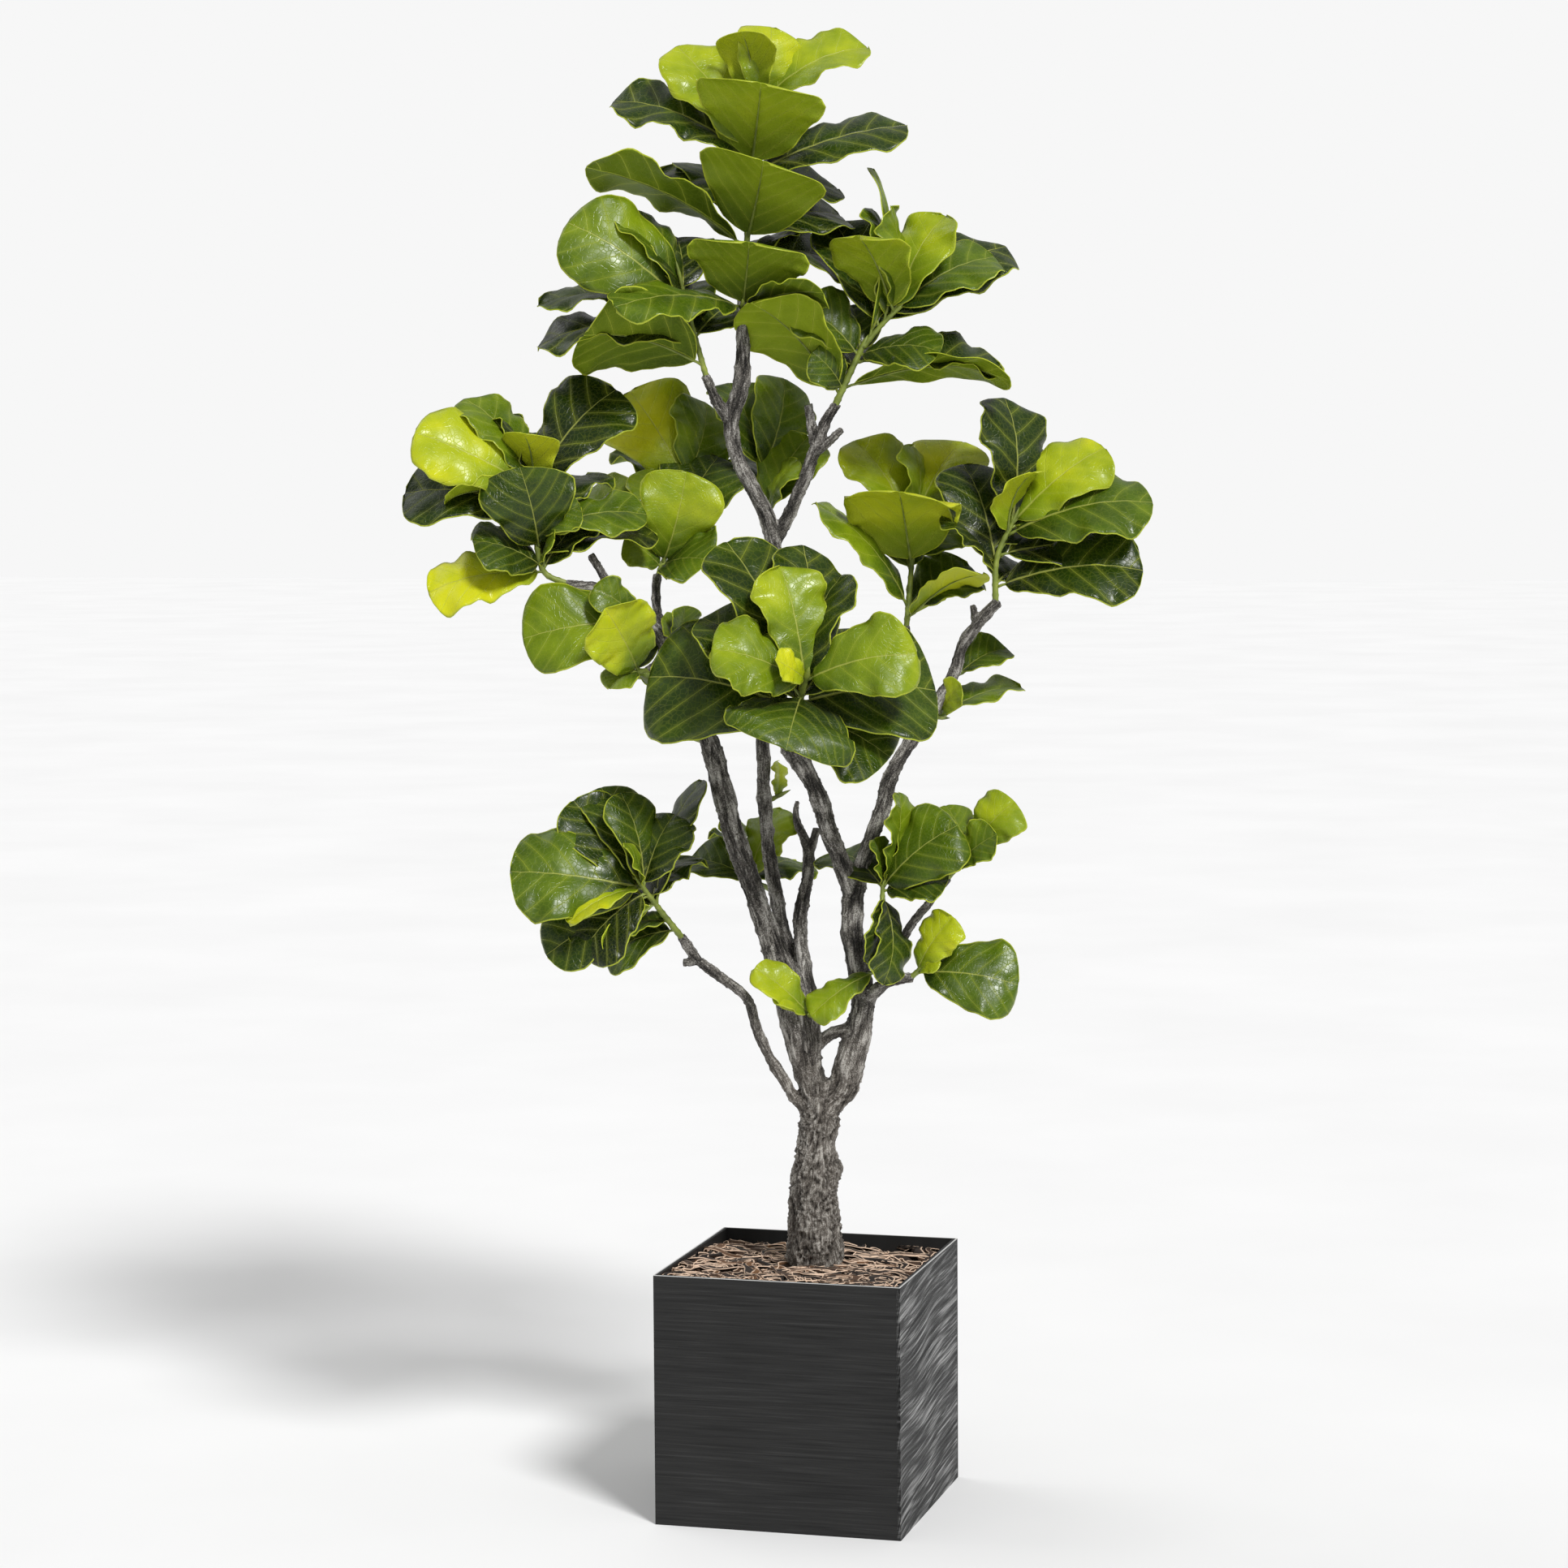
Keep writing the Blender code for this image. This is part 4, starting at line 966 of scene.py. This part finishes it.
def grow_trunk():
    """Every limb swept and fused into one skin, then given its bark relief."""
    limbs = bmesh.new()
    for points in BRANCHES.values():
        bm = bmesh.new()
        sweep(bm, eased_path(points, 1.2), 14)
        mesh = to_mesh(bm, "limb")
        limbs.from_mesh(mesh)
        bpy.data.meshes.remove(mesh)
    trunk = new_piece("trunk_and_limbs", to_mesh(limbs, "trunk_and_limbs"))
    fuse = trunk.modifiers.new("fuse", "REMESH")
    fuse.mode = "VOXEL"
    fuse.voxel_size = BARK_CELL
    applied(trunk)
    bm = bmesh.new()
    bm.from_mesh(trunk.data)
    bmesh.ops.smooth_vert(bm, verts=bm.verts, factor=0.5, use_axis_x=True, use_axis_y=True,
                          use_axis_z=True)
    samples = limb_samples()
    tree = kdtree.KDTree(len(samples))
    for index, sample in enumerate(samples):
        tree.insert(sample[0], index)
    tree.balance()
    limb_place = bm.verts.layers.float_vector.new("limb_place")
    age = bm.verts.layers.float.new("age")
    ridges = bm.verts.layers.float.new("ridge")
    bm.normal_update()
    moves = []
    for vertex in bm.verts:
        near = [(samples[i], gap) for _, i, gap in tree.find_n(vertex.co, 3)]
        place, radius, turn, run, number = min(near, key=lambda pair: pair[1] - pair[0][1])[0]
        local = turn.inverted() @ (vertex.co - place)
        relief, pale = bark_relief(local, run + local.z, radius, number, vertex.co.z)
        moves.append((vertex, vertex.co + vertex.normal * relief))
        vertex[limb_place] = Vector((local.x, local.y, run + local.z + 13 * number)) * CM
        vertex[age] = max(0.0, min(1.0, (78 - vertex.co.z) / 36))
        vertex[ridges] = pale
    for vertex, place in moves:
        vertex.co = place
    trunk.data = to_mesh(bm, "trunk_and_limbs")
    trunk.data.materials.append(fig_bark())
    settle_tree(trunk.data)
    stand_for(trunk, "fig_bark", "trunk_and_branches")


# ---------------------------------------------------------------- planter and mulch

def grain_relief(u, z, swirl, shift):
    """Height of the embossed wood grain at a place on a wall, about -1 to 1."""
    bend = noise.noise(Vector((u * 7, z * 5, shift))) * 0.013 * swirl
    across = z - 0.09 * swirl * u + bend
    pitch = 1.3 - 0.7 * swirl
    lines = noise.noise(Vector((u * 14, across * 420 * pitch, shift)))
    broad = noise.noise(Vector((u * 6, across * 160 * pitch, shift + 5)))
    crest = 1 - abs(noise.noise(Vector((u * 9, across * 240 * pitch, shift + 9)))) * 3
    return lines * 0.6 + broad * 0.5 + crest * 0.5


def wall_spot(step, half):
    """The place of one step around the planter's square, on its outer wall."""
    wall, along = divmod(step / WALL_CUTS, 1.0)
    across = half * (2 * along - 1)
    return ((across, -half), (half, across), (-across, half), (-half, -across))[int(wall) % 4]


def make_planter():
    low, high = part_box("planter")
    half, top = high.x, high.z
    bm = bmesh.new()
    bmesh.ops.create_grid(bm, x_segments=4 * WALL_CUTS, y_segments=WALL_ROWS, size=0.5)
    plan = bm.loops.layers.uv.new("wall_plan")
    swirls = bm.verts.layers.float.new("swirl")
    ridges = bm.verts.layers.float.new("ridge")
    rim_highlight = bm.verts.layers.float.new("rim")
    shell_length = 8 * half
    for face in bm.faces:
        for loop in face.loops:
            loop[plan].uv = ((loop.vert.co.x + 0.5) * shell_length, (loop.vert.co.y + 0.5) * top)
    for vertex in bm.verts:
        step = round((vertex.co.x + 0.5) * 4 * WALL_CUTS)
        z = (vertex.co.y + 0.5) * top
        x, y = wall_spot(step, half)
        wall = step // WALL_CUTS % 4
        # swirl marks the side walls, which the finish paints lighter than the front and back. This
        # is partly their own grain and partly painted light.
        swirl = float(wall % 2)
        along = 2 * half * (step % WALL_CUTS) / WALL_CUTS
        relief = grain_relief(y if swirl else x, z, swirl, wall)
        keep = min(1.0, max(0.0, min(z, top - z) - 0.001) / 0.005)
        keep *= min(1.0, min(along, 2 * half - along) / 0.012)
        depth = keep * (relief - 0.7) * (0.0008 if swirl else 0.0002)
        out = ((0, -1), (1, 0), (0, 1), (-1, 0))[wall]
        vertex.co = (x + out[0] * depth, y + out[1] * depth, z)
        vertex[swirls] = swirl
        vertex[ridges] = 0.5 + 0.5 * relief
    bmesh.ops.remove_doubles(bm, verts=bm.verts, dist=0.0001)
    mouth = [edge for edge in bm.edges if edge.is_boundary and edge.verts[0].co.z > top / 2]
    foot = [edge for edge in bm.edges if edge.is_boundary and edge.verts[0].co.z < top / 2]
    bmesh.ops.holes_fill(bm, edges=foot, sides=0)
    # The mouth's outer edge carries the rim's painted highlight.
    for vertex in {vertex for edge in mouth for vertex in edge.verts}:
        vertex[rim_highlight] = 1.0
    inner = (half - WALL) / half
    for scale, height in ((inner, top), (1.0, WALL)):
        grown = bmesh.ops.extrude_edge_only(bm, edges=mouth)["geom"]
        mouth = [item for item in grown if isinstance(item, bmesh.types.BMEdge)]
        for vertex in {vertex for edge in mouth for vertex in edge.verts}:
            vertex.co = (vertex.co.x * scale, vertex.co.y * scale, height)
            vertex[rim_highlight] = 0.0
            vertex[ridges] = 0.3
            vertex[swirls] = 0.0
    bmesh.ops.holes_fill(bm, edges=mouth, sides=0)
    bmesh.ops.recalc_face_normals(bm, faces=bm.faces)
    mesh = to_mesh(bm, "planter_shell")
    mesh.set_sharp_from_angle(angle=math.radians(60))
    planter = new_piece("planter_shell", mesh, planter_composite())
    stand_for(planter, "planter", "planter")


def mulch_height(x, y):
    """Low uneven heaps of bark, sinking toward the back, in metres."""
    waves = math.sin(31 * x + 17 * y) + math.sin(43 * y - 23 * x + 1.3) + math.sin(71 * x + 0.4)
    return MULCH_TOP - MULCH_SLOPE * y + MULCH_BUMP * waves / 3


def keep_inside(bm, ceiling):
    """Holds loose bark inside the planter, on the bed and below the rim."""
    inside = PLANTER_INSIDE - 0.0015
    for vertex in bm.verts:
        x = max(-inside, min(inside, vertex.co.x))
        y = max(-inside, min(inside, vertex.co.y))
        bed = mulch_height(x, y)
        top = min(bed + ceiling, SHRED_CEILING + 0.001 * math.sin(900 * x))
        vertex.co = (x, y, max(bed - 0.004, min(vertex.co.z, top)))


def join(heap, bm, name):
    mesh = to_mesh(bm, name)
    heap.from_mesh(mesh)
    bpy.data.meshes.remove(mesh)


def add_shred(shreds, spot, rng):
    """Adds one curled shred of bark: a strip bent along its length and cupped across it."""
    length = rng.uniform(0.040, 0.110)
    width = rng.uniform(0.009, 0.020)
    heading = rng.gauss(0.0, 0.8)
    pitch = rng.uniform(-0.12, 0.20)
    arch = rng.uniform(0.0, 0.16) * length
    sway = rng.uniform(0.003, 0.014)
    bends = rng.uniform(0.8, 2.2)
    phase = rng.uniform(0, 2 * math.pi)
    cup = rng.uniform(-0.9, 0.9)
    lean = rng.uniform(-1.3, 1.3)
    shade = rng.choice((0.10, 0.16, 0.24, 0.30, 0.36, 0.44, 0.58)) + rng.uniform(-0.05, 0.05)
    bm = bmesh.new()
    bmesh.ops.create_grid(bm, x_segments=2, y_segments=12, size=0.5)
    shades = bm.verts.layers.float.new("shade")
    edges = bm.verts.layers.float.new("edge")
    plan = bm.loops.layers.uv.new("shred_plan")
    turn = Matrix.Rotation(heading, 3, "Z") @ Matrix.Rotation(pitch, 3, "Y")
    spots = {}
    for vertex in bm.verts:
        across, along = 2 * vertex.co.x, vertex.co.y
        spots[vertex] = (vertex.co.x + shade, vertex.co.y + shade)
        # edge runs out to 1 at the strip's long edges, where the painted highlight goes.
        vertex[shades], vertex[edges] = shade, abs(across)
        girth = width / 2 * (1 - 0.6 * abs(2 * along) ** 3)
        angle = cup * across + lean
        wiggle = math.sin(2 * math.pi * bends * along + phase) * sway
        side = math.cos(angle) * across * girth + wiggle
        rise = math.sin(angle) * across * girth + arch * (1 - 4 * along ** 2)
        rise += 0.0022 * math.sin(9 * along + 2 * phase)
        vertex.co = spot + turn @ Vector((along * length, side, rise))
    for face in bm.faces:
        for loop in face.loops:
            loop[plan].uv = spots[loop.vert]
    keep_inside(bm, 0.015)
    join(shreds, bm, "shred")


def add_crumb(crumbs, spot, rng):
    """Adds one crumb of bark: a squashed, uneven pebble."""
    bm = bmesh.new()
    bmesh.ops.create_icosphere(bm, subdivisions=1, radius=1.0)
    shades = bm.verts.layers.float.new("shade")
    edges = bm.verts.layers.float.new("edge")
    bm.loops.layers.uv.new("shred_plan")
    size = rng.uniform(0.0016, 0.0050)
    stretch = Vector((rng.uniform(0.8, 2.2), rng.uniform(0.7, 1.3), rng.uniform(0.4, 0.8)))
    turn = Matrix.Rotation(rng.uniform(0, 6.3), 3, "Z") @ Matrix.Rotation(rng.gauss(0, 0.5), 3, "X")
    shade = rng.uniform(0.20, 0.95)
    for vertex in bm.verts:
        uneven = vertex.co * rng.uniform(0.7, 1.15)
        vertex[shades], vertex[edges] = shade, 0.4
        vertex.co = spot + turn @ (uneven * stretch) * size
    keep_inside(bm, 0.012)
    join(crumbs, bm, "crumb")


def make_mulch():
    inside = PLANTER_INSIDE - 0.0005
    bm = bmesh.new()
    bmesh.ops.create_grid(bm, x_segments=90, y_segments=90, size=inside)
    for vertex in bm.verts:
        x, y, _ = vertex.co
        rough = noise.noise(Vector((x * 90, y * 90, 2))) + noise.noise(Vector((x, y, 0)) * 210)
        vertex.co.z = mulch_height(x, y) - 0.003 + 0.0022 * rough
    grown = bmesh.ops.extrude_face_region(bm, geom=bm.faces[:])["geom"]
    for item in grown:
        if isinstance(item, bmesh.types.BMVert):
            item.co.z = SOIL_TOP + 0.001
    bmesh.ops.recalc_face_normals(bm, faces=bm.faces)
    bed = new_piece("mulch_bed", to_mesh(bm, "mulch_bed"), mulch_bed())
    stand_for(bed, "bark_mulch", "bark_mulch")
    rng = random.Random(7)
    shreds, crumbs = bmesh.new(), bmesh.new()
    trunk_spot = tree_place @ Vector((0.9 * CM, 0, 0))
    for heap, add, count, front in ((shreds, add_shred, SHRED_COUNT, 0.16),
                                    (crumbs, add_crumb, CRUMB_COUNT, -0.02)):
        placed = 0
        while placed < count:
            x, y = rng.uniform(-inside, inside), rng.uniform(-inside, inside)
            if (Vector((x, y, 0)) - trunk_spot).length < 0.043 or y > rng.gauss(front, 0.06):
                continue
            height = mulch_height(x, y) + rng.uniform(-0.001, 0.007)
            add(heap, Vector((x, y, height)), rng)
            placed += 1
    finish = shredded_bark()
    loose = new_piece("mulch_shreds", to_mesh(shreds, "mulch_shreds"), finish)
    skin = loose.modifiers.new("thickness", "SOLIDIFY")
    skin.thickness = 0.0012
    skin.offset = 0.0
    stand_for(loose, "bark_mulch")
    stand_for(new_piece("mulch_crumbs", to_mesh(crumbs, "mulch_crumbs"), finish), "bark_mulch")


def dress_soil():
    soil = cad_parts["potting_soil"]
    soil.data.materials.clear()
    soil.data.materials.append(potting_soil())


# ---------------------------------------------------------------- studio

def studio():
    """A pale floor under an even white sky, with one soft sun from the right."""
    scene = bpy.context.scene
    scene.view_settings.view_transform = "Standard"
    world = bpy.data.worlds.new("studio")
    scene.world = world
    world.use_nodes = True
    nodes, links = world.node_tree.nodes, world.node_tree.links
    glow = nodes["Background"]
    glow.inputs["Strength"].default_value = SKY_GLOW
    backdrop = nodes.new("ShaderNodeBackground")
    backdrop.inputs["Strength"].default_value = 0.93
    for shader in (glow, backdrop):
        shader.inputs["Color"].default_value = (1.0, 1.0, 1.0, 1.0)
    seen = nodes.new("ShaderNodeLightPath")
    choose = nodes.new("ShaderNodeMixShader")
    links.new(seen.outputs["Is Camera Ray"], choose.inputs[0])
    links.new(glow.outputs[0], choose.inputs[1])
    links.new(backdrop.outputs[0], choose.inputs[2])
    links.new(choose.outputs[0], nodes["World Output"].inputs["Surface"])
    bm = bmesh.new()
    bmesh.ops.create_grid(bm, x_segments=1, y_segments=1, size=40.0)
    floor = new_piece("studio_floor", to_mesh(bm, "studio_floor"), pale_floor())
    for name, aim, strength, spread in (
            ("sun", (-0.62, 0.62, -0.80), SUN_STRENGTH, 14), ("rim", (0.7, -0.2, -0.7), 0.5, 40)):
        light = bpy.data.lights.new(name, "SUN")
        light.energy = strength
        light.angle = math.radians(spread)
        lamp = bpy.data.objects.new(name, light)
        scene.collection.objects.link(lamp)
        lamp.rotation_mode = "QUATERNION"
        lamp.rotation_quaternion = Vector(aim).to_track_quat("-Z", "Y")


def pale_floor():
    finish = Finish("pale_floor")
    cloud = finish.noise(finish.place(), 1.2, 3)
    base = finish.ramp(cloud, (0.3, (0.86, 0.86, 0.86)), (0.7, (0.90, 0.90, 0.90)))
    return finish.wear(base, 0.7)


def set_camera():
    """Looks at the tree from its front, a little from above."""
    pitch, turn = math.radians(4.7755), TREE_TURN
    back = Vector((0, -math.cos(pitch), math.sin(pitch)))
    target = Vector((-0.0305, 0, 1.0182))
    lens = bpy.data.cameras.new("camera")
    lens.sensor_width = 36.0
    lens.lens = 90.6
    lens.clip_end = 60.0
    camera = bpy.data.objects.new("camera", lens)
    bpy.context.scene.collection.objects.link(camera)
    camera.location = tree_place @ (target + back * 5.5054)
    camera.rotation_mode = "QUATERNION"
    aim = (tree_place.to_3x3() @ -back).to_track_quat("-Z", "Y")
    camera.rotation_quaternion = aim @ Matrix.Rotation(CAMERA_ROLL, 3, "Z").to_quaternion()
    bpy.context.scene.camera = camera


def main():
    studio()
    set_camera()
    make_planter()
    dress_soil()
    make_mulch()
    grow_trunk()
    finishes = leaf_upper(), leaf_underside(), green_stem()
    for number, (node, shoot) in enumerate(SHOOTS.items()):
        grow_foliage(number, node, shoot["axis"], shoot["leaves"], TONES[node], finishes)


main()
